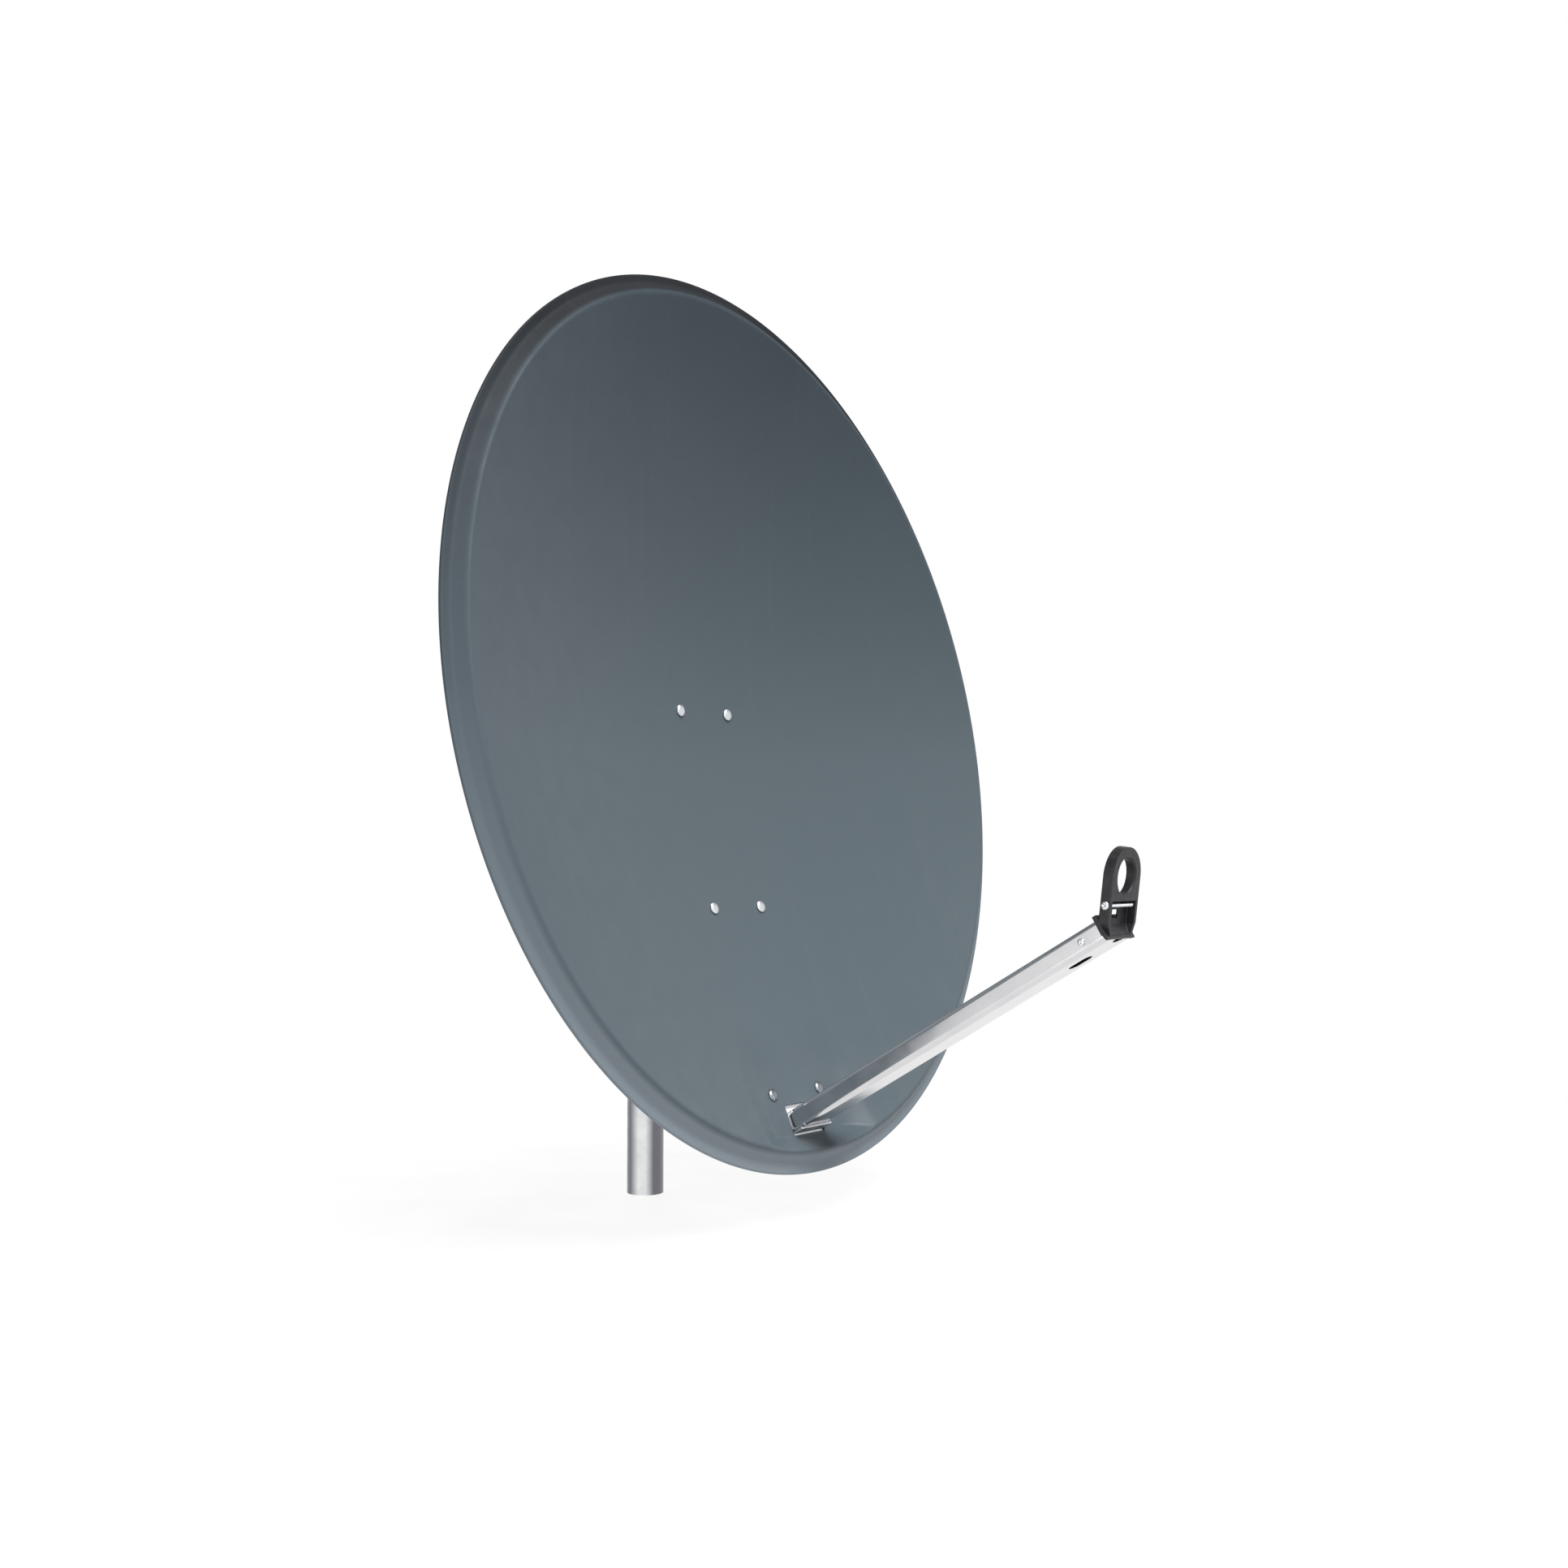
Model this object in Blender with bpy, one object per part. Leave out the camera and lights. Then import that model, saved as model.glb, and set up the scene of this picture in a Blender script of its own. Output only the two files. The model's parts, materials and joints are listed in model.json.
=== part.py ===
"""Offset satellite dish on a mast: reflector, feed arm, LNB holder and azimuth-elevation mount.

The origin is the centre of the mast's foot, +Z runs up the mast, and the dish looks towards -Y.
Lengths are metres. Three local frames carry most of the pieces:
  face     origin at the middle of the rim's ellipse, x right, y up the face, z out of the dish
  arm      origin where the arm's centre line meets the slot, x right, y up, z along the arm
  holder   origin at the middle of the LNB ring's front, x right, y up the holder, z outwards
"""
import math

import bmesh
import bpy
from mathutils import Matrix, Vector

# ---- driving dimensions -------------------------------------------------------------------------
GAP = 0.0003                      # clearance between touching pieces

APERTURE = 1.000                  # width of the reflector inside its edge bend
OFFSET_ANGLE = math.radians(25)   # tilt of the rim against the paraboloid's axis
FACE_TILT = math.radians(10)      # how far the face leans back from upright
FACE_FORWARD = 0.205              # from the mast's axis to the face's middle
FACE_HEIGHT = 0.632               # height of the face's middle
SHEET = 0.0010                    # thickness of the reflector
FLANGE_OUT = 0.016                # run of the conical flange outwards
FLANGE_BACK = 0.0155              # and backwards
LIP = 0.012                       # width of the flat lip

CENTRE_BOLT_X = 0.0475            # half spacing of the four middle bolts
CENTRE_BOLT_UP = 0.0612           # their places up the aperture
CENTRE_BOLT_DOWN = -0.1786
ARM_BOLT_X = 0.0475
SEAT_Y, SEAT_Z = -0.480, -0.0385  # the arm bolts' line on the pressed seat, in the face frame
SEAT_SLOPE = 0.25                 # the seat's fall towards the dish's middle
SEAT_HALF, SEAT_EDGE = 0.060, 0.0945        # half width of the flat, and of its sloping sides
SEAT_FADE = (-0.455, -0.370)      # heights over which it runs out into the bowl
FOOT_SLOPE = 1.41                 # the steep wall between seat and rim
BOLT_R = 0.004                    # M8
SLOT_WIDTH = 0.063
SLOT_LOW, SLOT_HIGH = -0.5320, -0.4945

POLE_R = 0.02415
POLE_WALL = 0.0026
POLE_TOP = 0.640

PIVOT = Vector((0.0, -0.060, 0.565))        # elevation axis
LOCK_RADIUS = 0.060                         # arc slot's radius about the pivot
LOCK_REST = math.radians(-5)                # lock bolt's place at rest, from straight down
ELEVATION_DOWN, ELEVATION_UP = math.radians(15), math.radians(25)
STEEL = 0.003                               # thickness of the brackets
MAST_CHEEK_X = 0.0415                       # outer face of the mast bracket's cheeks
BACK_CHEEK_X = 0.0420                       # inner face of the back bracket's cheeks
U_BOLT_HEIGHTS = (0.592, 0.452)
U_BOLT_LEG_X = POLE_R + BOLT_R + 0.00035
WEB_BACK = -0.0338                          # rear face of the mast bracket's web

PLATE_WIDTH, PLATE_HEIGHT = 0.130, 0.310
PLATE_FRONT = 0.0108                        # stand-off behind the middle bolts' plane
CHEEK_HALF = 0.080                          # half height of the window the cheeks are bent from

ARM_RISE = math.radians(20)                 # slope of the arm against the face's normal
ARM_WIDTH, ARM_HEIGHT = 0.056, 0.026
ARM_WALL, ARM_CORNER = 0.0020, 0.0065
ARM_START_Y, ARM_START_Z = -0.5141, -0.030  # the arm frame's origin, in the face frame
ARM_TAIL, ARM_LENGTH = -0.085, 0.4915
CABLE_HOLE_AT, CABLE_HOLE_LONG, CABLE_HOLE_WIDE = 0.436, 0.031, 0.016
FIXING_SCREW_AT = 0.462
CROSS_BOLT_AT = -0.062
CRADLE_WALL, CRADLE_NOSE = 0.0025, 0.0125

HOLDER_TILT = math.radians(17)
HOLDER_Y, HOLDER_Z = -0.292, 0.458          # the holder frame's origin, in the face frame
HOLDER_HALF = 0.033
HOLDER_DEPTH = 0.0125
HOLDER_TOP = 0.0325
HOLDER_WALL = 0.0050
HOLLOW_TOP = -0.0275
RING_R = 0.0200
CLAMP_SCREW_UP, CLAMP_SCREW_BACK = -0.0325, 0.0060

# colours: red, green, blue, roughness, metallic
SLATE = (0.110, 0.140, 0.165, 0.45, 0.0)
ZINC = (0.62, 0.64, 0.66, 0.35, 1.0)
GALVANISED = (0.55, 0.57, 0.60, 0.45, 1.0)
BRIGHT_TUBE = (0.80, 0.80, 0.80, 0.25, 1.0)
BLACK_PLASTIC = (0.025, 0.025, 0.028, 0.50, 0.0)

# derived from the above
HALF_WIDTH = APERTURE / 2
FOCAL_LENGTH = HALF_WIDTH / (2 * math.tan(OFFSET_ANGLE))


# ---- scene helpers ------------------------------------------------------------------------------
def clear_scene():
    for obj in list(bpy.data.objects):
        bpy.data.objects.remove(obj, do_unlink=True)


def make_material(name, look):
    material = bpy.data.materials.get(name)
    if material is None:
        material = bpy.data.materials.new(name)
        material.use_nodes = True
        shader = material.node_tree.nodes["Principled BSDF"]
        shader.inputs["Base Color"].default_value = (*look[:3], 1.0)
        shader.inputs["Roughness"].default_value = look[3]
        shader.inputs["Metallic"].default_value = look[4]
        material.diffuse_color = (*look[:3], 1.0)
    return material


def add_empty(name, parent, matrix):
    empty = bpy.data.objects.new(name, None)
    empty.empty_display_size = 0.05
    bpy.context.scene.collection.objects.link(empty)
    empty.parent = parent
    empty.matrix_local = matrix
    return empty


def add_object(name, mesh, parent, matrix=Matrix(), look=None, smooth=35):
    """Link a mesh under its parent. Round surfaces are smooth up to the given edge angle."""
    obj = bpy.data.objects.new(name, mesh)
    bpy.context.scene.collection.objects.link(obj)
    obj.parent = parent
    obj.matrix_local = matrix
    if look is not None:
        if mesh.materials:
            mesh.materials[0] = make_material(name, look)
        else:
            mesh.materials.append(make_material(name, look))
    mesh.shade_smooth()
    mesh.set_sharp_from_angle(angle=math.radians(smooth))
    return obj


def boolean(obj, other, operation="DIFFERENCE"):
    """Cut or join with a guide object, which stays hidden."""
    other.hide_render = True
    other.display_type = "WIRE"
    modifier = obj.modifiers.new(other.name, "BOOLEAN")
    modifier.operation = operation
    modifier.solver = "EXACT"
    modifier.object = other


def mesh_from(bm, name):
    bmesh.ops.recalc_face_normals(bm, faces=bm.faces)
    mesh = bpy.data.meshes.new(name)
    bm.to_mesh(mesh)
    bm.free()
    return mesh


# ---- mesh helpers -------------------------------------------------------------------------------
def loft(loops, name, closed=False, capped=False):
    """Skin over loops of equal length. A loop of one point is a pole."""
    bm = bmesh.new()
    rings = [[bm.verts.new(point) for point in loop] for loop in loops]
    pairs = list(zip(rings, rings[1:]))
    if closed:
        pairs.append((rings[-1], rings[0]))
    for first, second in pairs:
        count = max(len(first), len(second))
        for i in range(count):
            j = (i + 1) % count
            if len(first) == 1:
                bm.faces.new((first[0], second[i], second[j]))
            elif len(second) == 1:
                bm.faces.new((first[j], first[i], second[0]))
            else:
                bm.faces.new((first[i], second[i], second[j], first[j]))
    if capped:
        bm.faces.new(rings[0])
        bm.faces.new(rings[-1])
    return mesh_from(bm, name)


def circle(radius, z, segments=16):
    if radius == 0:
        return [(0.0, 0.0, z)]
    turn = 2 * math.pi / segments
    return [(radius * math.cos(i * turn), radius * math.sin(i * turn), z) for i in range(segments)]


def hexagon(across_flats, z, segments=12):
    """A hexagon drawn with as many points as the circles it is skinned to."""
    points = []
    for i in range(segments):
        angle = 2 * math.pi * i / segments
        off_flat = (angle + math.pi / 6) % (math.pi / 3) - math.pi / 6
        radius = across_flats / 2 / math.cos(off_flat)
        points.append((radius * math.cos(angle), radius * math.sin(angle), z))
    return points


def turned(profile, name, segments=16, closed=False):
    return loft([circle(radius, z, segments) for radius, z in profile], name, closed)


def prism(outline, near, far, name):
    """Extrude a 2-D outline from z = near to z = far."""
    return loft([[(x, y, near) for x, y in outline], [(x, y, far) for x, y in outline]],
                name, capped=True)


def box(name, low, high):
    outline = [(low[0], low[1]), (high[0], low[1]), (high[0], high[1]), (low[0], high[1])]
    return prism(outline, low[2], high[2], name)


def merged(pieces, name):
    """One guide mesh out of several separate ones, each with its own placement."""
    bm = bmesh.new()
    for mesh, matrix in pieces:
        old = len(bm.verts)
        bm.from_mesh(mesh)
        bm.verts.ensure_lookup_table()
        bmesh.ops.transform(bm, matrix=matrix, verts=bm.verts[old:])
        bpy.data.meshes.remove(mesh)
    mesh = bpy.data.meshes.new(name)
    bm.to_mesh(mesh)
    bm.free()
    return mesh


def arc(centre, radius, start, stop, steps):
    """Points on an arc, angles in degrees from +x."""
    points = []
    for i in range(steps + 1):
        angle = math.radians(start + (stop - start) * i / steps)
        points.append((centre[0] + radius * math.cos(angle), centre[1] + radius * math.sin(angle)))
    return points


def rounded_rectangle(width, height, radius, steps=3):
    points = []
    for corner, start in ((1, 1), 0), ((-1, 1), 90), ((-1, -1), 180), ((1, -1), 270):
        centre = (corner[0] * (width / 2 - radius), corner[1] * (height / 2 - radius))
        points += arc(centre, radius, start, start + 90, steps)
    return points


def side_view(lateral):
    """A matrix that stands an outline drawn in (y, z) upright, extruded along x."""
    return Matrix(((0, 0, 1, lateral), (1, 0, 0, 0), (0, 1, 0, 0), (0, 0, 0, 1)))


def frame_matrix(origin, x_axis, y_axis):
    z_axis = x_axis.cross(y_axis)
    rows = [(x_axis[i], y_axis[i], z_axis[i], origin[i]) for i in range(3)]
    return Matrix((*rows, (0, 0, 0, 1)))


# ---- reflector geometry -------------------------------------------------------------------------
def reflector_point(x, up):
    """A point of the paraboloid in the face frame, from its place in the round aperture."""
    depth = (HALF_WIDTH ** 2 - x * x - up * up) / (4 * FOCAL_LENGTH)
    y = up / math.cos(OFFSET_ANGLE) - depth * math.sin(OFFSET_ANGLE)
    return Vector((x, y, -depth * math.cos(OFFSET_ANGLE)))


def reflector_normal(x, up):
    slope = math.tan(OFFSET_ANGLE) + up / (2 * FOCAL_LENGTH)
    return Vector((-x / (2 * FOCAL_LENGTH),
                   math.sin(OFFSET_ANGLE) - slope * math.cos(OFFSET_ANGLE),
                   math.cos(OFFSET_ANGLE) + slope * math.sin(OFFSET_ANGLE))).normalized()


def bolt_frame(x, up):
    """Origin on the reflector's face, z along its normal towards the front."""
    normal = reflector_normal(x, up)
    x_axis = Vector((0, 1, 0)).cross(normal).normalized()
    return frame_matrix(reflector_point(x, up), x_axis, normal.cross(x_axis))


def pressed(point):
    """The face-frame point, moved back where the seat for the arm is pressed into the bowl."""
    seat = SEAT_Z - SEAT_SLOPE * (point.y - SEAT_Y)
    run = (SEAT_FADE[1] - point.y) / (SEAT_FADE[1] - SEAT_FADE[0])
    run = min(max(run, 0.0), 1.0)
    run = run * run * (3 - 2 * run)
    side = (abs(point.x) - SEAT_HALF) / (SEAT_EDGE - SEAT_HALF)
    floor = point.z + (seat - point.z) * run * min(max(1 - side, 0.0), 1.0)
    half_height = HALF_WIDTH / math.cos(OFFSET_ANGLE)
    rim = -half_height * math.sqrt(max(0.0, 1 - (point.x / HALF_WIDTH) ** 2))
    foot = -FOOT_SLOPE * (point.y - rim)
    return Vector((point.x, point.y, min(point.z, max(floor, foot))))


def seat_frame(x):
    """Origin on the pressed seat's face, y up the seat, z along its normal towards the front."""
    return frame_matrix((x, SEAT_Y, SEAT_Z), Vector((1, 0, 0)),
                        Vector((0, 1, -SEAT_SLOPE)).normalized())


def rim_profile():
    """The edge's section as (outwards, forwards) from the corner where face and flange meet."""
    middle = (FLANGE_OUT * 0.5, -FLANGE_BACK * 0.5)
    lip_start = FLANGE_OUT + 0.0035
    lip_end = FLANGE_OUT + LIP
    return [(-0.0045, -0.0018), (-0.0010, -0.0006), (0.0030, -0.0026), middle,
            (FLANGE_OUT - 0.002, -FLANGE_BACK + 0.0022), (lip_start, -FLANGE_BACK),
            (lip_end - 0.0015, -FLANGE_BACK), (lip_end, -FLANGE_BACK - 0.0018),
            (lip_end - 0.0006, -FLANGE_BACK - 0.0050)]


def round_the_bowl():
    """Angles round the aperture, closer together over the seat at the bottom."""
    step = 2 * math.pi / 56
    bottom = -math.pi / 2
    close = [bottom + 2 * step * (i / 10 - 1) for i in range(20)]
    return close + [bottom + step * (2 + i) for i in range(52)]


def make_reflector(face):
    angles = round_the_bowl()
    loops = [[reflector_point(0, 0)]]
    for share in (0.16, 0.32, 0.48, 0.62, 0.70, 0.76, 0.81, 0.85, 0.885, 0.915, 0.945, 0.968):
        radius = HALF_WIDTH * share
        loops.append([pressed(reflector_point(radius * math.cos(a), radius * math.sin(a)))
                      for a in angles])
    half_height = HALF_WIDTH / math.cos(OFFSET_ANGLE)
    for out, forward in rim_profile():
        loops.append([pressed(Vector(((HALF_WIDTH + out) * math.cos(a),
                                      (half_height + out) * math.sin(a), forward)))
                      for a in angles])
    reflector = add_object("reflector", loft(loops, "reflector"), face, look=SLATE, smooth=50)
    sheet = reflector.modifiers.new("sheet", "SOLIDIFY")
    sheet.thickness = SHEET
    sheet.offset = -1.0
    sheet.use_even_offset = True

    slot_outline = rounded_rectangle(SLOT_WIDTH, SLOT_HIGH - SLOT_LOW, 0.0015, 2)
    slot_place = Matrix.Translation((0, (SLOT_HIGH + SLOT_LOW) / 2, 0))
    boolean(reflector, add_object("cut_slot", prism(slot_outline, -0.10, 0.05, "cut_slot"), face,
                                  slot_place))
    drill = [(0, -0.02), (BOLT_R + 0.0006, -0.02), (BOLT_R + 0.0006, 0.02), (0, 0.02)]
    places = centre_bolt_frames() + [seat_frame(-ARM_BOLT_X), seat_frame(ARM_BOLT_X)]
    holes = merged([(turned(drill, "hole", 12), place) for place in places], "cut_holes")
    boolean(reflector, add_object("cut_holes", holes, face))


def centre_bolt_frames():
    """Frames of the four middle bolts, upper left first."""
    return [bolt_frame(side * CENTRE_BOLT_X, up) for up in (CENTRE_BOLT_UP, CENTRE_BOLT_DOWN)
            for side in (-1, 1)]


# ---- fasteners ----------------------------------------------------------------------------------
def dome_bolt_mesh(name, length, head_r=0.0078, head_h=0.0042, shank_r=BOLT_R, segments=12):
    """A cup-head bolt, its head's underside at z = 0 and its shank down -z."""
    profile = [(0, head_h), (head_r * 0.55, head_h * 0.86), (head_r * 0.90, head_h * 0.45),
               (head_r, 0.0006), (head_r, 0), (shank_r, 0), (shank_r, -length + 0.0008),
               (shank_r - 0.0008, -length), (0, -length)]
    return turned(profile, name, segments)


def flange_nut_mesh(name, across=0.0130, height=0.0080, flange_r=0.0085, hole_r=BOLT_R + GAP):
    """A flange nut whose flange sits on z = 0."""
    loops = [circle(hole_r, 0, 12), circle(flange_r, 0, 12), circle(flange_r, 0.0012, 12),
             hexagon(across, 0.0026), hexagon(across, height - 0.0006),
             circle(across * 0.47, height, 12), circle(hole_r, height, 12)]
    return loft(loops, name, closed=True)


def hex_bolt_mesh(name, length, across=0.0130, head_h=0.0053, shank_r=BOLT_R):
    """A hexagon-head bolt, its head's underside at z = 0 and its shank down -z."""
    loops = [circle(0, head_h), circle(across * 0.46, head_h, 12), hexagon(across, head_h - 0.0008),
             hexagon(across, 0), circle(shank_r, 0, 12), circle(shank_r, -length + 0.0008, 12),
             circle(shank_r - 0.0008, -length, 12), circle(0, -length)]
    return loft(loops, name)


def washer_mesh(name, outer_r=0.0085, height=0.0015, hole_r=BOLT_R + GAP):
    return turned([(hole_r, 0), (outer_r, 0), (outer_r, height), (hole_r, height)], name, 16, True)


def facing_x(x, y, z, side):
    """Turn a piece so that its z axis points outwards along +x or -x."""
    return Matrix.Translation((x, y, z)) @ Matrix.Rotation(side * math.pi / 2, 4, "Y")


# ---- mast and azimuth clamp ---------------------------------------------------------------------
def make_mast():
    wall = [(POLE_R - POLE_WALL, 0), (POLE_R, 0), (POLE_R, POLE_TOP), (POLE_R - POLE_WALL, POLE_TOP)]
    add_object("mast_pole", turned(wall, "mast_pole", 40, True), None, look=GALVANISED)
    skirt_r, top = POLE_R + 0.0022, POLE_TOP + GAP
    cap = [(0, top), (POLE_R + GAP, top), (POLE_R + GAP, top - 0.014), (skirt_r, top - 0.014),
           (skirt_r, top + 0.0018), (skirt_r - 0.0015, top + 0.0032), (0, top + 0.0040)]
    add_object("mast_cap", turned(cap, "mast_cap", 40), None, look=BLACK_PLASTIC)


def lock_angle(turn):
    """Degrees from +y at which the lock bolt sits once the dish has turned by the given angle."""
    return -90 + math.degrees(LOCK_REST - turn)


def slot_outline_points(margin):
    """The arc slot about the pivot, grown by margin, in (y, z) with the pivot at the origin."""
    low, high = lock_angle(ELEVATION_UP), lock_angle(-ELEVATION_DOWN)
    half = BOLT_R + 0.0005 + margin
    ends = [(LOCK_RADIUS * math.cos(math.radians(a)), LOCK_RADIUS * math.sin(math.radians(a)))
            for a in (low, high)]
    points = arc((0, 0), LOCK_RADIUS + half, low, high, 8)
    points += arc(ends[1], half, high, high + 180, 5)[1:-1]
    points += arc((0, 0), LOCK_RADIUS - half, high, low, 8)
    points += arc(ends[0], half, low + 180, low + 360, 5)[1:-1]
    return points


def mast_cheek_outline():
    """Cheek of the mast bracket in (y, z), with the pivot at the origin."""
    rear = WEB_BACK - PIVOT.y
    low, high = 0.437 - PIVOT.z, 0.607 - PIVOT.z
    slot = slot_outline_points(0.0050)
    outline = [(rear, low), (rear, high), (rear - 0.012, high)]
    outline += arc((0, 0), 0.016, 80, 180, 5)
    front = [p for p in slot if p[0] < -0.0255]
    lowest = [p for p in slot[:9] if p[0] >= -0.0255]
    front.sort(key=lambda p: math.atan2(p[1] + 0.052, p[0] + 0.030) % (2 * math.pi))
    outline += front + lowest
    return outline + [(rear - 0.012, low)]


def make_mast_bracket(azimuth):
    place = Matrix.Translation(-azimuth.location)
    web_front = WEB_BACK - STEEL
    web = box("mast_bracket", (-MAST_CHEEK_X, web_front, 0.437), (MAST_CHEEK_X, WEB_BACK, 0.607))
    bracket = add_object("mast_bracket", web, azimuth, place, GALVANISED)
    to_pivot = place @ Matrix.Translation(PIVOT)
    for name, near in (("cheek_left", -MAST_CHEEK_X), ("cheek_right", MAST_CHEEK_X - STEEL)):
        cheek = prism(mast_cheek_outline(), 0, STEEL, name)
        boolean(bracket, add_object(f"join_{name}", cheek, azimuth, to_pivot @ side_view(near)), "UNION")
    slot = prism(slot_outline_points(0), -0.06, 0.06, "cut_arc")
    boolean(bracket, add_object("cut_arc", slot, azimuth, to_pivot @ side_view(0)))
    pivot_hole = prism(arc((0, 0), BOLT_R + GAP, 0, 330, 11), -0.06, 0.06, "cut_pivot")
    boolean(bracket, add_object("cut_pivot", pivot_hole, azimuth, to_pivot @ side_view(0)))
    hole = [(0, -0.02), (BOLT_R + 0.0005, -0.02), (BOLT_R + 0.0005, 0.02), (0, 0.02)]
    forwards = Matrix.Rotation(math.pi / 2, 4, "X")
    legs = merged([(turned(hole, "hole", 12), Matrix.Translation((x, WEB_BACK, z)) @ forwards)
                   for x, z in u_bolt_legs()], "cut_legs")
    boolean(bracket, add_object("cut_legs", legs, azimuth, place))


def u_bolt_legs():
    return [(side * U_BOLT_LEG_X, z) for z in U_BOLT_HEIGHTS for side in (-1, 1)]


def make_u_bolt(name, azimuth, height, sides=10):
    """A round rod bent round the back of the mast, its threaded legs towards the dish."""
    path = [(-U_BOLT_LEG_X, -0.0505, math.pi), (-U_BOLT_LEG_X, -0.0250, math.pi)]
    path += [(-U_BOLT_LEG_X * math.cos(a), U_BOLT_LEG_X * math.sin(a), math.pi - a)
             for a in (math.pi * i / 14 for i in range(15))]
    path += [(U_BOLT_LEG_X, -0.0250, 0), (U_BOLT_LEG_X, -0.0505, 0)]
    loops = []
    for x, y, facing in path:
        loop = []
        for i in range(sides):
            turn = 2 * math.pi * i / sides
            out = BOLT_R * math.cos(turn)
            loop.append((x + out * math.cos(facing), y + out * math.sin(facing),
                         BOLT_R * math.sin(turn)))
        loops.append(loop)
    spot = Matrix.Translation((0, 0, height - azimuth.location.z))
    add_object(name, loft(loops, name, capped=True), azimuth, spot, ZINC, 40)


def saddle_outline():
    """Toothed V jaw between the web and the mast, drawn in (x, y)."""
    slope = math.tan(math.radians(60))
    apex = -(POLE_R + GAP) / math.sin(math.radians(60))
    front, rear = WEB_BACK + GAP, -0.0165
    half = 0.0365
    mouth = (rear - apex) * slope
    tooth_count, tooth = 4, 0.0011
    right = []
    for i in range(tooth_count):
        for share, dent in ((i, 0.0), (i + 0.5, tooth)):
            x = mouth * (1 - share / tooth_count)
            right.append((x, apex + x / slope - dent))
    left = [(-x, y) for x, y in reversed(right)]
    rim = [(mouth, rear), (-mouth, rear)]
    return ([(-half, front), (half, front), (half, rear), rim[0]] + right[1:] + [(0, apex - tooth)]
            + left[:-1] + [rim[1], (-half, rear)])


def make_azimuth_clamp(azimuth):
    for label, height in zip(("upper", "lower"), U_BOLT_HEIGHTS):
        make_u_bolt(f"u_bolt_{label}", azimuth, height)
        spot = Matrix.Translation((0, 0, height - azimuth.location.z))
        saddle = add_object(f"saddle_{label}", prism(saddle_outline(), -0.011, 0.011, "saddle"),
                            azimuth, spot, ZINC)
        for side, x in (("left", -U_BOLT_LEG_X), ("right", U_BOLT_LEG_X)):
            hole = turned([(0, -0.05), (BOLT_R + GAP, -0.05), (BOLT_R + GAP, 0.05), (0, 0.05)],
                          "cut_saddle", 12)
            turn = Matrix.Translation((x, 0, 0)) @ Matrix.Rotation(math.pi / 2, 4, "X")
            boolean(saddle, add_object(f"cut_saddle_{label}_{side}", hole, azimuth, spot @ turn))
            front = WEB_BACK - STEEL - GAP
            nut_spot = spot @ Matrix.Translation((x, front, 0)) @ Matrix.Rotation(math.pi / 2, 4, "X")
            add_object(f"u_bolt_nut_{label}_{side}", flange_nut_mesh("u_bolt_nut"), azimuth,
                       nut_spot, ZINC, 30)


# ---- elevation bracket --------------------------------------------------------------------------
def back_plate_frame():
    """Origin midway between the four middle bolts, y up their chord, z towards the front."""
    upper = reflector_point(0, CENTRE_BOLT_UP)
    lower = reflector_point(0, CENTRE_BOLT_DOWN)
    drop = (CENTRE_BOLT_X ** 2 / (4 * FOCAL_LENGTH)) * math.cos(OFFSET_ANGLE)
    middle = (upper + lower) / 2 + Vector((0, 0, drop))
    return frame_matrix(middle, Vector((1, 0, 0)), (upper - lower).normalized())


def back_cheek_outline(to_pivot):
    """Cheek in (y, z) about the pivot: from the plate round the pivot and the lock bolt."""
    def on_plate(up):
        point = to_pivot @ back_plate_frame() @ Vector((0, up, -PLATE_FRONT - STEEL / 2))
        return (point.y, point.z)
    lock = (LOCK_RADIUS * math.sin(LOCK_REST), -LOCK_RADIUS * math.cos(LOCK_REST))
    outline = [on_plate(-CHEEK_HALF)] + arc(lock, 0.0125, -80, 10, 4)
    return outline + arc((0, 0), 0.0145, -5, 100, 6) + [on_plate(CHEEK_HALF)]


def make_back_bracket(elevation, face):
    plate_frame = back_plate_frame()
    rear = -PLATE_FRONT - STEEL
    outline = rounded_rectangle(PLATE_WIDTH, PLATE_HEIGHT, 0.014, 3)
    bracket = add_object("back_bracket", prism(outline, rear, -PLATE_FRONT, "back_bracket"), face,
                         plate_frame, GALVANISED)
    places = centre_bolt_frames()
    reach, root = -SHEET - 0.0005, rear + 0.0015
    mouth = [(0, -0.04), (0.0125, -0.04), (0.0125, 0.0), (0, 0.0)]
    mouths = merged([(turned(mouth, "mouth", 16), frame) for frame in places], "cut_mouths")
    boolean(bracket, add_object("cut_mouths", mouths, face))
    edge = BACK_CHEEK_X + 0.001
    tall = CHEEK_HALF + 0.003
    window = box("cut_window", (-edge, -tall, -0.05), (edge, tall, 0.05))
    boolean(bracket, add_object("cut_window", window, face, plate_frame))

    outline = back_cheek_outline(face.matrix_basis)
    cheeks = merged([(prism(outline, 0, STEEL, "cheek"), side_view(near))
                     for near in (-BACK_CHEEK_X - STEEL, BACK_CHEEK_X)], "join_cheeks")
    boolean(bracket, add_object("join_cheeks", cheeks, elevation), "UNION")
    lock = (LOCK_RADIUS * math.sin(LOCK_REST), -LOCK_RADIUS * math.cos(LOCK_REST))
    holes = merged([(prism(arc(centre, BOLT_R + GAP, 0, 330, 11), -0.06, 0.06, "hole"), side_view(0))
                    for centre in ((0, 0), lock)], "cut_cheek_holes")
    boolean(bracket, add_object("cut_cheek_holes", holes, elevation))

    hole = BOLT_R + 0.0005
    dish = [(hole, reach), (0.0100, reach), (0.0150, root), (0.0115, root), (0.0088, reach - 0.003),
            (hole, reach - 0.003)]
    pads = merged([(turned(dish, "pad", 16, True), frame) for frame in places], "join_pads")
    boolean(bracket, add_object("join_pads", pads, face), "UNION")


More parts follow.
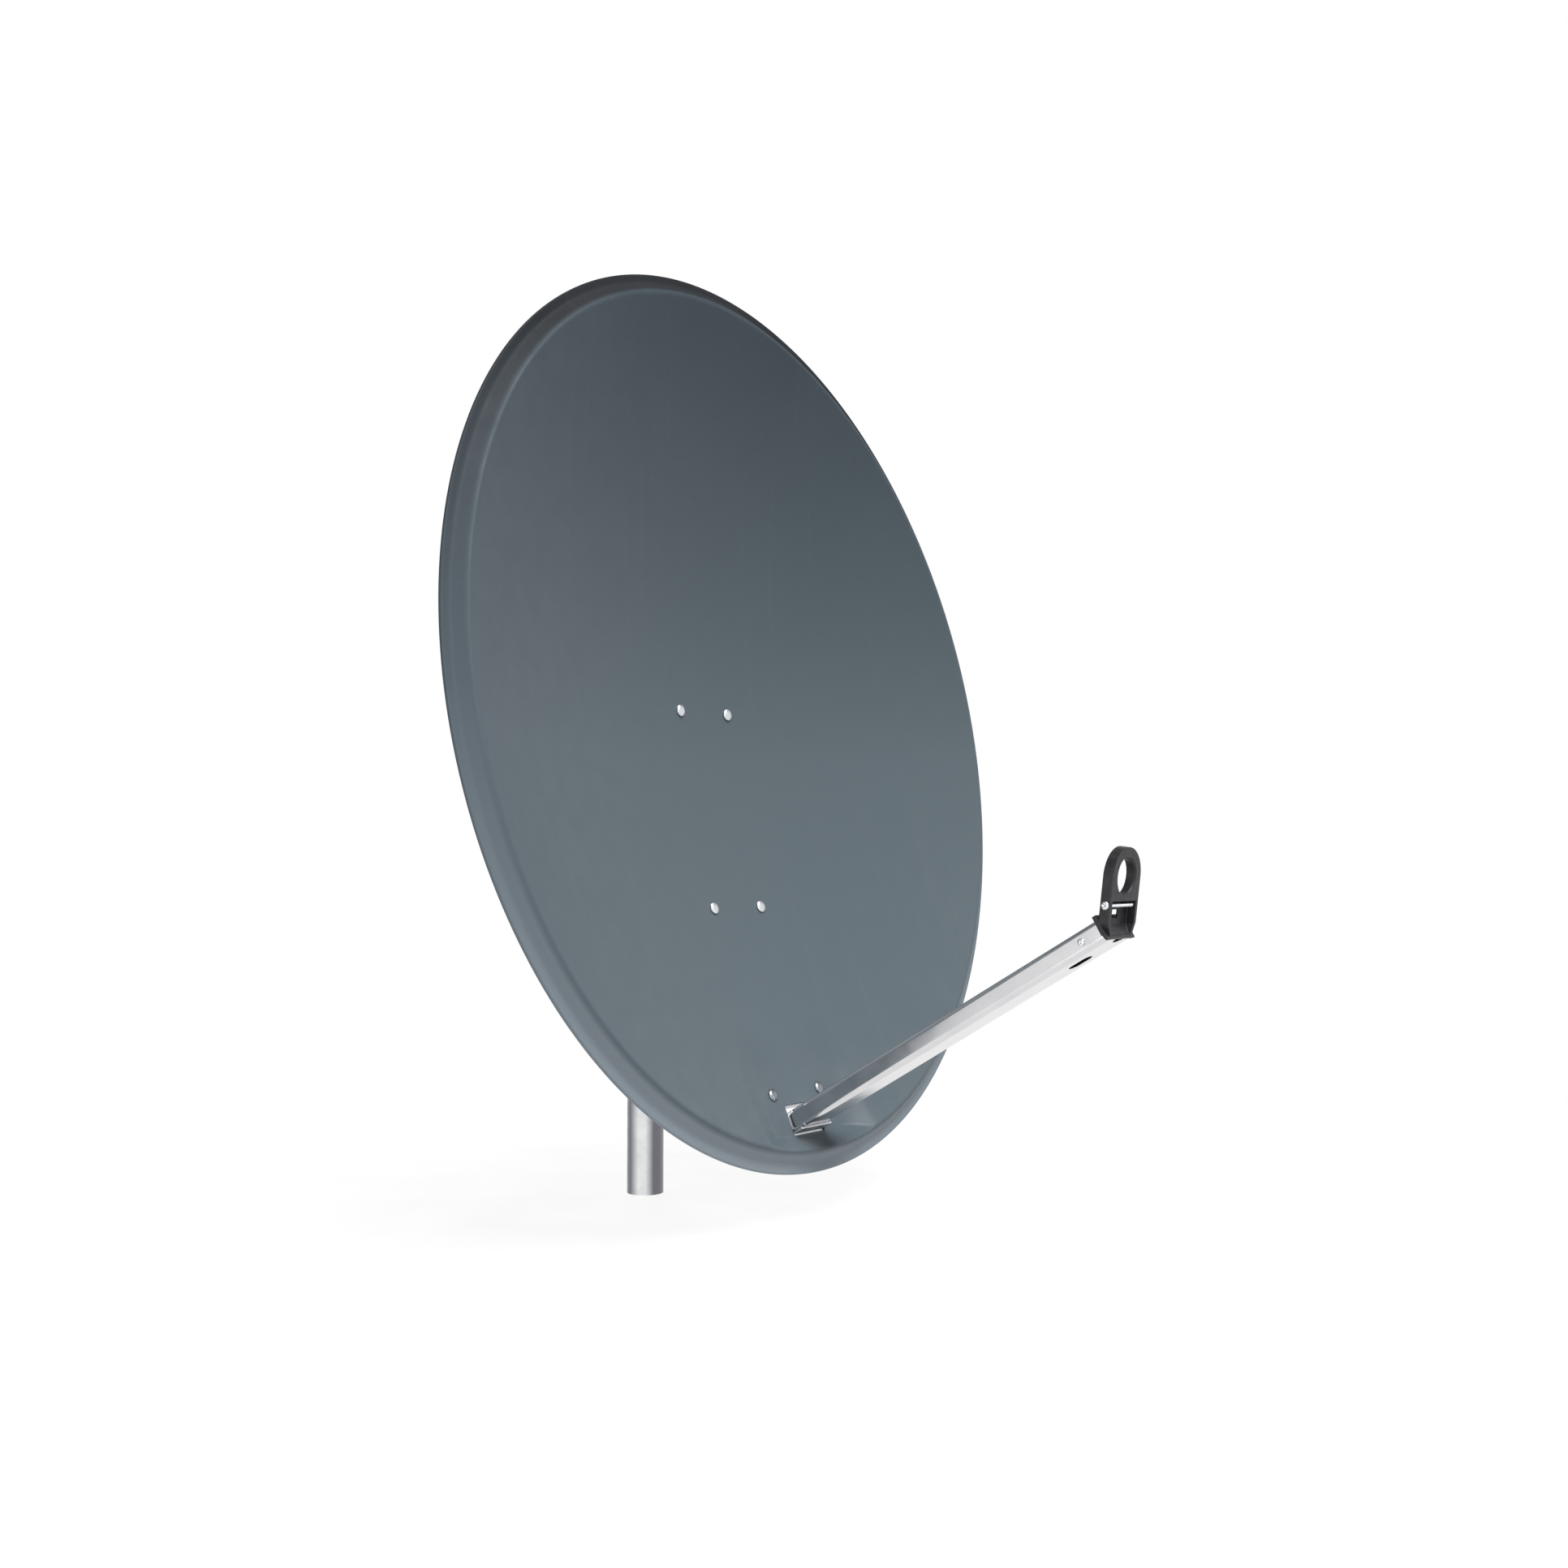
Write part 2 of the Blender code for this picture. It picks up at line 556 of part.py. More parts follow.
def make_elevation_fasteners(elevation):
    outer = BACK_CHEEK_X + STEEL + GAP
    length = 2 * outer + 0.014
    add_object("pivot_bolt", hex_bolt_mesh("pivot_bolt", length), elevation,
               facing_x(-outer, 0, 0, -1), ZINC, 30)
    add_object("pivot_nut", flange_nut_mesh("pivot_nut"), elevation, facing_x(outer, 0, 0, 1), ZINC, 30)
    lock_y, lock_z = LOCK_RADIUS * math.sin(LOCK_REST), -LOCK_RADIUS * math.cos(LOCK_REST)
    inner = MAST_CHEEK_X - STEEL - GAP
    for side, name in ((-1, "left"), (1, "right")):
        bolt = dome_bolt_mesh("lock_bolt", outer - inner + 0.0145, 0.0085, 0.0035)
        add_object(f"lock_bolt_{name}", bolt, elevation, facing_x(side * inner, lock_y, lock_z, -side),
                   ZINC, 30)
        add_object(f"lock_washer_{name}", washer_mesh("lock_washer"), elevation,
                   facing_x(side * outer, lock_y, lock_z, side), ZINC, 30)
        add_object(f"lock_nut_{name}", flange_nut_mesh("lock_nut"), elevation,
                   facing_x(side * (outer + 0.0015 + GAP), lock_y, lock_z, side), ZINC, 30)


# ---- bolts through the reflector ----------------------------------------------------------------
def make_centre_bolts(face):
    seat = -SHEET - 0.0005 - 0.003
    for index, frame in enumerate(centre_bolt_frames(), start=1):
        head = frame @ Matrix.Translation((0, 0, 0.0009))
        add_object(f"centre_bolt_{index}", dome_bolt_mesh("centre_bolt", 0.0200), face, head, ZINC, 30)
        behind = frame @ Matrix.Translation((0, 0, seat - GAP)) @ Matrix.Rotation(math.pi, 4, "X")
        add_object(f"centre_nut_{index}", flange_nut_mesh("centre_nut"), face, behind, ZINC, 30)


def make_arm_bolts(face):
    for side, name in ((-1, "left"), (1, "right")):
        frame = seat_frame(side * ARM_BOLT_X)
        head = frame @ Matrix.Translation((0, 0, GAP))
        add_object(f"arm_bolt_{name}", dome_bolt_mesh("arm_bolt", 0.0200), face, head, ZINC, 30)
        behind = frame @ Matrix.Translation((0, 0, -0.0066)) @ Matrix.Rotation(math.pi, 4, "X")
        add_object(f"arm_nut_{name}", flange_nut_mesh("arm_nut"), face, behind, ZINC, 30)


# ---- feed arm -----------------------------------------------------------------------------------
def arm_frame():
    """x right, y up from the arm's top face, z along the arm, in the face frame."""
    above = Vector((0, math.cos(ARM_RISE), -math.sin(ARM_RISE)))
    return frame_matrix((0, ARM_START_Y, ARM_START_Z), Vector((1, 0, 0)), above)


def tube_section(z, inset=0.0):
    width, height = ARM_WIDTH - 2 * inset, ARM_HEIGHT - 2 * inset
    return [(x, y, z) for x, y in rounded_rectangle(width, height, ARM_CORNER - inset)]


def along_arm(distance):
    return arm_frame() @ Matrix.Translation((0, 0, distance))


def drill_across(obj, name, place, radius, near, far, face):
    """A round hole along x, from x = near to x = far."""
    drill = turned([(0, near), (radius, near), (radius, far), (0, far)], name, 12)
    boolean(obj, add_object(name, drill, face, place @ Matrix.Rotation(math.pi / 2, 4, "Y")))


def make_arm(face):
    frame = arm_frame()
    loops = [tube_section(ARM_TAIL), tube_section(ARM_LENGTH),
             tube_section(ARM_LENGTH, ARM_WALL), tube_section(ARM_TAIL, ARM_WALL)]
    arm = add_object("arm_tube", loft(loops, "arm_tube", closed=True), face, frame, BRIGHT_TUBE)
    floor = ARM_HEIGHT / 2
    half = CABLE_HOLE_WIDE / 2
    run = CABLE_HOLE_LONG / 2 - half
    downwards = Matrix.Rotation(math.pi / 2, 4, "X")
    oval = arc((0, run), half, 0, 180, 6) + arc((0, -run), half, 180, 360, 6)
    cable = prism(oval, floor - 0.006, floor + 0.004, "cut_cable")
    boolean(arm, add_object("cut_cable", cable, face, along_arm(CABLE_HOLE_AT) @ downwards))
    notch = prism(arc((0, 0.001), 0.0090, 0, 330, 11), floor - 0.006, floor + 0.004, "cut_notch")
    boolean(arm, add_object("cut_notch", notch, face, along_arm(ARM_LENGTH) @ downwards))
    drill_across(arm, "cut_fixing", along_arm(FIXING_SCREW_AT), 0.0029, -0.04, -0.018, face)
    drill_across(arm, "cut_cross", along_arm(CROSS_BOLT_AT), 0.0033, -0.04, 0.04, face)


def cradle_mesh():
    """The U-section that the arm lies in, before its sides are trimmed."""
    half, low = ARM_WIDTH / 2 + GAP, -ARM_HEIGHT / 2 - GAP
    outer, top = half + CRADLE_WALL, ARM_HEIGHT / 2
    outline = [(-outer, low - CRADLE_WALL), (outer, low - CRADLE_WALL), (outer, top), (half, top),
               (half, low), (-half, low), (-half, top), (-outer, top)]
    return prism(outline, ARM_TAIL - 0.004, CRADLE_NOSE, "join_cradle")


def make_arm_bracket(face):
    """A plate behind the reflector, in one piece with the cradle under the arm."""
    on_sheet = seat_frame(0)
    front = -SHEET - 0.0006
    plate = [(x, y - 0.024) for x, y in rounded_rectangle(0.124, 0.086, 0.010, 3)]
    bracket = add_object("arm_bracket", prism(plate, front - 0.0025, front, "arm_bracket"), face,
                         on_sheet, GALVANISED)
    half, low = ARM_WIDTH / 2 + GAP, -ARM_HEIGHT / 2 - GAP
    inside = CRADLE_WALL / 2
    opening = box("cut_opening", (-half - inside, low - inside, -0.06),
                  (half + inside, -low + 0.0040, 0.04))
    boolean(bracket, add_object("cut_opening", opening, face, arm_frame()))
    cradle = add_object("join_cradle", cradle_mesh(), face, arm_frame())
    floor = low + GAP
    trim = [(0.05, floor), (-0.0042, floor), (-0.0012, 0.013), (-0.0012, 0.04), (0.05, 0.04)]
    trim_place = arm_frame() @ side_view(0)
    nose = prism([(y, z) for z, y in trim], -0.05, 0.05, "cut_nose")
    boolean(cradle, add_object("cut_nose", nose, face, trim_place))
    boolean(bracket, cradle, "UNION")
    drill_across(bracket, "cut_cradle", along_arm(CROSS_BOLT_AT), 0.0033, -0.05, 0.05, face)
    for index, side in enumerate((-1, 1)):
        hole = turned([(0, -0.03), (BOLT_R + 0.0005, -0.03), (BOLT_R + 0.0005, 0.01), (0, 0.01)],
                      "cut_ear", 12)
        boolean(bracket, add_object(f"cut_ear_{index}", hole, face,
                                    seat_frame(side * ARM_BOLT_X)))

    outer = half + CRADLE_WALL + GAP
    across = along_arm(CROSS_BOLT_AT)
    bolt = hex_bolt_mesh("arm_cross_bolt", 2 * outer + 0.010, 0.0100, 0.0040, 0.0030)
    add_object("arm_cross_bolt", bolt, face, across @ facing_x(-outer, 0, 0, -1), ZINC, 30)
    nut = flange_nut_mesh("arm_cross_nut", 0.0100, 0.0060, 0.0068, 0.0030 + GAP)
    add_object("arm_cross_nut", nut, face, across @ facing_x(outer, 0, 0, 1), ZINC, 30)


# ---- LNB holder ---------------------------------------------------------------------------------
def holder_frame():
    up = Vector((0, math.cos(HOLDER_TILT), math.sin(HOLDER_TILT)))
    return frame_matrix((0, HOLDER_Y, HOLDER_Z), Vector((1, 0, 0)), up)


def holder_outline(half, top, foot, taper):
    """Front view of the holder: a round head, straight flanks and a tapered foot."""
    crown = top - half
    outline = arc((0, crown), half, 0, 180, 12)
    return outline + [(-half, foot + taper), (-half + taper * 0.5, foot), (half - taper * 0.5, foot),
                      (half, foot + taper)]


def make_holder(face):
    frame, arm = holder_frame(), arm_frame()
    low, high = -ARM_HEIGHT / 2 - 0.0002, ARM_HEIGHT / 2 + 0.0035
    side_low = -ARM_HEIGHT / 2 + ARM_CORNER
    foot = (frame.inverted() @ arm @ Vector((0, low, ARM_LENGTH + 0.004))).y
    body = prism(holder_outline(HOLDER_HALF, HOLDER_TOP, foot, 0.016), -HOLDER_DEPTH, 0, "lnb_holder")
    holder = add_object("lnb_holder", body, face, frame, BLACK_PLASTIC)

    back, front = ARM_LENGTH - 0.0035, ARM_LENGTH + 0.0030
    collar = box("join_collar", (-HOLDER_HALF + 0.0002, low - 0.004, back),
                 (HOLDER_HALF - 0.0002, high, front))
    boolean(holder, add_object("join_collar", collar, face, arm), "UNION")
    step = [(low - 0.04, back - 0.02), (low - 0.04, ARM_LENGTH + 0.03), (low, ARM_LENGTH + 0.03),
            (low, ARM_LENGTH + GAP / 2), (side_low, ARM_LENGTH - 0.0015), (side_low, back - 0.02)]
    beneath = prism(step, -0.06, 0.06, "cut_beneath")
    boolean(holder, add_object("cut_beneath", beneath, face, arm @ side_view(0)))

    inner = HOLDER_HALF - HOLDER_WALL
    floor = foot + 0.0025
    pocket = [(inner, HOLLOW_TOP), (-inner, HOLLOW_TOP), (-inner, foot + 0.014),
              (-inner + 0.006, floor), (inner - 0.006, floor), (inner, foot + 0.014)]
    hollow = prism(pocket, -HOLDER_DEPTH + 0.0025, 0.01, "cut_hollow")
    boolean(holder, add_object("cut_hollow", hollow, face, frame))
    slope = box("join_slope", (-inner - 0.001, low + 0.0002, ARM_LENGTH - 0.001),
                (inner + 0.001, high - 0.0002, front - 0.0004))
    boolean(holder, add_object("join_slope", slope, face, arm), "UNION")

    around = loft([tube_section(ARM_LENGTH - 0.05, -GAP), tube_section(ARM_LENGTH + GAP, -GAP)],
                  "cut_tube", capped=True)
    boolean(holder, add_object("cut_tube", around, face, arm))
    plug = loft([[(x, max(y, -0.0035), z) for x, y, z in tube_section(end, ARM_WALL + GAP)]
                 for end in (ARM_LENGTH - 0.045, ARM_LENGTH + 0.0015)], "join_plug", capped=True)
    boolean(holder, add_object("join_plug", plug, face, arm), "UNION")

    wide, rear = RING_R + 0.0020, -HOLDER_DEPTH
    bore = [(0, -0.03), (wide, -0.03), (wide, rear), (RING_R, rear + 0.0020), (RING_R, -0.0020),
            (wide, 0.0), (wide, 0.01), (0, 0.01)]
    window = box("window", (-0.007, -0.048, -0.03), (0.007, -0.038, 0.0))
    drill = [(0, -0.05), (0.0028, -0.05), (0.0028, 0.05), (0, 0.05)]
    across = Matrix.Translation((0, CLAMP_SCREW_UP, -CLAMP_SCREW_BACK)) @ facing_x(0, 0, 0, 1)
    openings = merged([(turned(bore, "bore", 32), Matrix()), (window, Matrix()),
                       (turned(drill, "drill", 12), across)], "cut_openings")
    boolean(holder, add_object("cut_openings", openings, face, frame))
    drill_across(holder, "cut_pilot", along_arm(FIXING_SCREW_AT), 0.0028, -0.05, -0.008, face)
    make_holder_fasteners(face, frame)


def make_holder_fasteners(face, frame):
    outer = HOLDER_HALF + GAP
    place = frame @ facing_x(-outer, CLAMP_SCREW_UP, -CLAMP_SCREW_BACK, -1)
    screw = dome_bolt_mesh("holder_clamp_screw", 2 * outer + 0.007, 0.0048, 0.0030, 0.0025)
    add_object("holder_clamp_screw", screw, face, place, ZINC, 30)
    place = frame @ facing_x(outer, CLAMP_SCREW_UP, -CLAMP_SCREW_BACK, 1)
    nut = flange_nut_mesh("holder_clamp_nut", 0.0080, 0.0045, 0.0050, 0.0025 + GAP)
    add_object("holder_clamp_nut", nut, face, place, ZINC, 30)
    place = along_arm(FIXING_SCREW_AT) @ facing_x(-ARM_WIDTH / 2 - GAP, 0, 0, -1)
    fixing = dome_bolt_mesh("holder_fixing_screw", 0.018, 0.0042, 0.0022, 0.0025)
    add_object("holder_fixing_screw", fixing, face, place, ZINC, 30)


# ---- assembly -----------------------------------------------------------------------------------
def main():
    clear_scene()
    make_mast()
    azimuth = add_empty("azimuth_axis", None, Matrix.Translation((0, 0, 0.522)))
    make_mast_bracket(azimuth)
    make_azimuth_clamp(azimuth)
    elevation = add_empty("elevation_axis", azimuth, Matrix.Translation(PIVOT - azimuth.location))
    face_place = Matrix.Translation(Vector((0, -FACE_FORWARD, FACE_HEIGHT)) - PIVOT)
    face = add_empty("face_frame", elevation,
                     face_place @ Matrix.Rotation(math.pi / 2 - FACE_TILT, 4, "X"))
    make_reflector(face)
    make_back_bracket(elevation, face)
    make_elevation_fasteners(elevation)
    make_centre_bolts(face)
    make_arm_bolts(face)
    make_arm(face)
    make_arm_bracket(face)
    make_holder(face)


main()
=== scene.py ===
"""The looks of an offset satellite dish on its mast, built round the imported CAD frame.

Lengths are metres, +Z is up and the dish faces -Y. Three local frames carry most pieces:
  face     origin at the middle of the rim's ellipse, x right, y up the face, z out of the dish
  arm      origin where the arm's centre line meets the slot, x right, y up, z along the arm
  holder   origin at the middle of the LNB ring's front, x right, y up the holder, z outwards
"""
import json
import math

import bmesh
import bpy
from mathutils import Matrix, Vector


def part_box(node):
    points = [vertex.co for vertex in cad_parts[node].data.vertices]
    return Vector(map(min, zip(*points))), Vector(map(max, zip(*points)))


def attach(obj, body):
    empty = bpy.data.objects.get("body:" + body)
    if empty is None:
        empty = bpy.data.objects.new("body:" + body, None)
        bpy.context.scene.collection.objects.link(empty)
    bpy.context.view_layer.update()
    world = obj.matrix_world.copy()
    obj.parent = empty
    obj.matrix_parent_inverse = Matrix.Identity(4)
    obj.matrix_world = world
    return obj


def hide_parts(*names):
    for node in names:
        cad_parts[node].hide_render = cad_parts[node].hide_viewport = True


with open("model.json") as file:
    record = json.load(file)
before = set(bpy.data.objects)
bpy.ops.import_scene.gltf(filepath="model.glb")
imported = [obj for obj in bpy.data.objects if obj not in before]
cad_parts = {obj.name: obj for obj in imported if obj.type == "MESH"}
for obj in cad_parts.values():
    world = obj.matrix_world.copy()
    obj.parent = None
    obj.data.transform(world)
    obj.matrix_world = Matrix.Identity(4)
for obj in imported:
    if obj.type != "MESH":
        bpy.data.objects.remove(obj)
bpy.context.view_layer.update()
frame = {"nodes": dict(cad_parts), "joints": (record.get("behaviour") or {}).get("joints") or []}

# ---- driving dimensions -------------------------------------------------------------------------
GAP = 0.0003
JOINTS = {joint["name"]: joint for joint in frame["joints"]}
PIVOT = Vector(JOINTS["elevation_tilt"]["pos_m"])

# the reflector, the seat pressed into its foot and the arm's slot
APERTURE = 1.000
OFFSET_ANGLE = math.radians(25)
FACE_TILT = math.radians(10)
FACE_FORWARD, FACE_HEIGHT = 0.205, 0.632
SHEET = 0.0010
CENTRE_BOLT_X, CENTRE_BOLT_UP, CENTRE_BOLT_DOWN = 0.0475, 0.0612, -0.1786
ARM_BOLT_X = 0.0475
SEAT_Y, SEAT_Z, SEAT_SLOPE = -0.480, -0.0385, 0.25
SEAT_HALF, SEAT_EDGE = 0.058, 0.118
SEAT_FADE = (-0.455, -0.370)
FOOT_SLOPE = 1.41
FOOT_FOLD_R, SEAT_FOLD_R = 0.0030, 0.0008
SLOT_WIDTH, SLOT_LOW, SLOT_HIGH, SLOT_CORNER = 0.063, -0.5320, -0.4945, 0.0022
BOLT_R = 0.004
CENTRE_BOLT_LONG, ARM_BOLT_LONG = 0.0195, 0.0200
CUP_HEAD, LOCK_HEAD = (0.0078, 0.0042), (0.0085, 0.0035)      # radius, height
SEAT_NUT_BACK = 0.0066

# the mast and its clamp
MAST_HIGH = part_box("mast_pole")[1]
POLE_R, POLE_TOP = MAST_HIGH[0], MAST_HIGH[2]
POLE_WALL = 0.0026
LOCK_RADIUS, LOCK_REST = 0.060, math.radians(-5)
STEEL = 0.003
MAST_CHEEK_X, BACK_CHEEK_X = 0.0415, 0.0420
U_BOLT_HEIGHTS = (0.592, 0.452)
U_BOLT_LEG_X = POLE_R + BOLT_R + 0.00035
WEB_FRONT = -0.0368
PLATE_ANGLE = 30        # degrees; a plate's edges sharper than this are rounded and stay crisp

# the feed arm
ARM_RISE = math.radians(20)
ARM_WIDTH, ARM_HEIGHT, ARM_WALL, ARM_CORNER = 0.056, 0.026, 0.0020, 0.0065
ARM_START_Y, ARM_START_Z = -0.5141, -0.030
ARM_TAIL, ARM_LENGTH = -0.085, 0.4915
CABLE_HOLE_AT, CABLE_HOLE_LONG, CABLE_HOLE_WIDE = 0.436, 0.031, 0.016
NOTCH_AT, NOTCH_R = 0.001, 0.0090
FIXING_SCREW_AT, CROSS_BOLT_AT = 0.462, -0.062
FIXING_HOLE_R, CROSS_HOLE_R = 0.0029, 0.0033
CRADLE_WALL = 0.0025

# the LNB holder
HOLDER_TILT = math.radians(17)
HOLDER_Y, HOLDER_Z = -0.292, 0.458
HOLDER_HALF, HOLDER_DEPTH, HOLDER_TOP, HOLDER_WALL = 0.033, 0.0125, 0.0325, 0.0050
HOLDER_TAPER, HOLLOW_TOP = 0.016, -0.0275
COLLAR_BACK, COLLAR_FRONT = 0.0024, 0.0030
RING_R, RING_FLARE = 0.0200, 0.0020
WINDOW_HALF, WINDOW_LOW, WINDOW_HIGH = 0.007, -0.048, -0.038
CLAMP_SCREW_UP, CLAMP_SCREW_BACK, CLAMP_HOLE_R = -0.0325, 0.0060, 0.0028
MOULD_VOXEL, MOULD_PASSES = 0.00036, 4

HALF_WIDTH = APERTURE / 2
HALF_HEIGHT = HALF_WIDTH / math.cos(OFFSET_ANGLE)
FOCAL_LENGTH = HALF_WIDTH / (2 * math.tan(OFFSET_ANGLE))
M8, M6, M5 = (0.00400, 0.00125), (0.00300, 0.00100), (0.00250, 0.00080)   # radius, pitch


# ---- mesh helpers -------------------------------------------------------------------------------
def mesh_from(bm, name):
    mesh = bpy.data.meshes.new(name)
    bm.to_mesh(mesh)
    bm.free()
    return mesh


def loft(loops, name, closed=False, capped=False, tidy=True):
    """Skin over loops of equal length. A loop of one point is a pole."""
    bm = bmesh.new()
    rings = [[bm.verts.new(point) for point in loop] for loop in loops]
    pairs = list(zip(rings, rings[1:]))
    if closed:
        pairs.append((rings[-1], rings[0]))
    for first, second in pairs:
        count = max(len(first), len(second))
        for i in range(count):
            j = (i + 1) % count
            if len(first) == 1:
                bm.faces.new((first[0], second[i], second[j]))
            elif len(second) == 1:
                bm.faces.new((first[j], first[i], second[0]))
            else:
                bm.faces.new((first[i], second[i], second[j], first[j]))
    if capped:
        bm.faces.new(rings[0])
        bm.faces.new(rings[-1])
    if tidy:
        bmesh.ops.recalc_face_normals(bm, faces=bm.faces)
    return mesh_from(bm, name)


def circle(radius, z, segments=48):
    if radius == 0:
        return [(0.0, 0.0, z)]
    turn = 2 * math.pi / segments
    return [(radius * math.cos(i * turn), radius * math.sin(i * turn), z) for i in range(segments)]


def turned(profile, name, segments=48, closed=False):
    return loft([circle(radius, z, segments) for radius, z in profile], name, closed)


def prism(outline, near, far, name):
    return loft([[(x, y, near) for x, y in outline], [(x, y, far) for x, y in outline]],
                name, capped=True)


def box(name, low, high):
    outline = [(low[0], low[1]), (high[0], low[1]), (high[0], high[1]), (low[0], high[1])]
    return prism(outline, low[2], high[2], name)


def arc(centre, radius, start, stop, steps):
    """Points on an arc, angles in degrees from +x."""
    points = []
    for i in range(steps + 1):
        angle = math.radians(start + (stop - start) * i / steps)
        points.append((centre[0] + radius * math.cos(angle), centre[1] + radius * math.sin(angle)))
    return points


def rounded_rectangle(width, height, radius, steps=8):
    points = []
    for corner, start in ((1, 1), 0), ((-1, 1), 90), ((-1, -1), 180), ((1, -1), 270):
        centre = (corner[0] * (width / 2 - radius), corner[1] * (height / 2 - radius))
        points += arc(centre, radius, start, start + 90, steps)
    return points


def bend(start, corner, stop, steps=6):
    """A quadratic curve that rounds a corner."""
    points = []
    for i in range(steps + 1):
        t = i / steps
        points.append(Vector(start) * (1 - t) ** 2 + Vector(corner) * 2 * t * (1 - t)
                      + Vector(stop) * t * t)
    return points


def side_view(lateral):
    """A matrix that stands an outline drawn in (y, z) upright, extruded along x."""
    return Matrix(((0, 0, 1, lateral), (1, 0, 0, 0), (0, 1, 0, 0), (0, 0, 0, 1)))


def frame_matrix(origin, x_axis, y_axis):
    z_axis = x_axis.cross(y_axis)
    rows = [(x_axis[i], y_axis[i], z_axis[i], origin[i]) for i in range(3)]
    return Matrix((*rows, (0, 0, 0, 1)))


def facing_x(x, y, z, side):
    """Turn a piece so that its z axis points outwards along +x or -x."""
    return Matrix.Translation((x, y, z)) @ Matrix.Rotation(side * math.pi / 2, 4, "Y")


# ---- pieces -------------------------------------------------------------------------------------
def add_piece(name, mesh, place, look, smooth=40):
    obj = bpy.data.objects.new(name, mesh)
    bpy.context.scene.collection.objects.link(obj)
    obj.matrix_world = place
    mesh.materials.clear()
    mesh.materials.append(look)
    mesh.shade_smooth()
    mesh.set_sharp_from_angle(angle=math.radians(smooth))
    return obj


def stands_for(obj, body, slot, *nodes):
    """Fix a finished piece to its body, in place of the CAD nodes it details."""
    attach(obj, body)
    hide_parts(*nodes)


def cut(obj, mesh, place, operation="DIFFERENCE"):
    """Cut a mesh out of a piece, or join it on, and keep the result as the piece's mesh."""
    tool = bpy.data.objects.new("tool", mesh)
    bpy.context.scene.collection.objects.link(tool)
    tool.matrix_world = place
    modifier = obj.modifiers.new("cut", "BOOLEAN")
    modifier.operation = operation
    modifier.solver = "EXACT"
    modifier.object = tool
    bake_modifiers(obj)
    bpy.data.objects.remove(tool)


def bake_modifiers(obj):
    bpy.context.view_layer.update()
    graph = bpy.context.evaluated_depsgraph_get()
    mesh = bpy.data.meshes.new_from_object(obj.evaluated_get(graph))
    old = obj.data
    obj.modifiers.clear()
    obj.data = mesh
    bpy.data.meshes.remove(old)


def soften(obj, width, segments, angle):
    """Round the edges sharper than the angle in degrees, as deburring and plating do."""
    rounding = obj.modifiers.new("edges", "BEVEL")
    rounding.width = width
    rounding.segments = segments
    rounding.limit_method = "ANGLE"
    rounding.angle_limit = math.radians(angle)


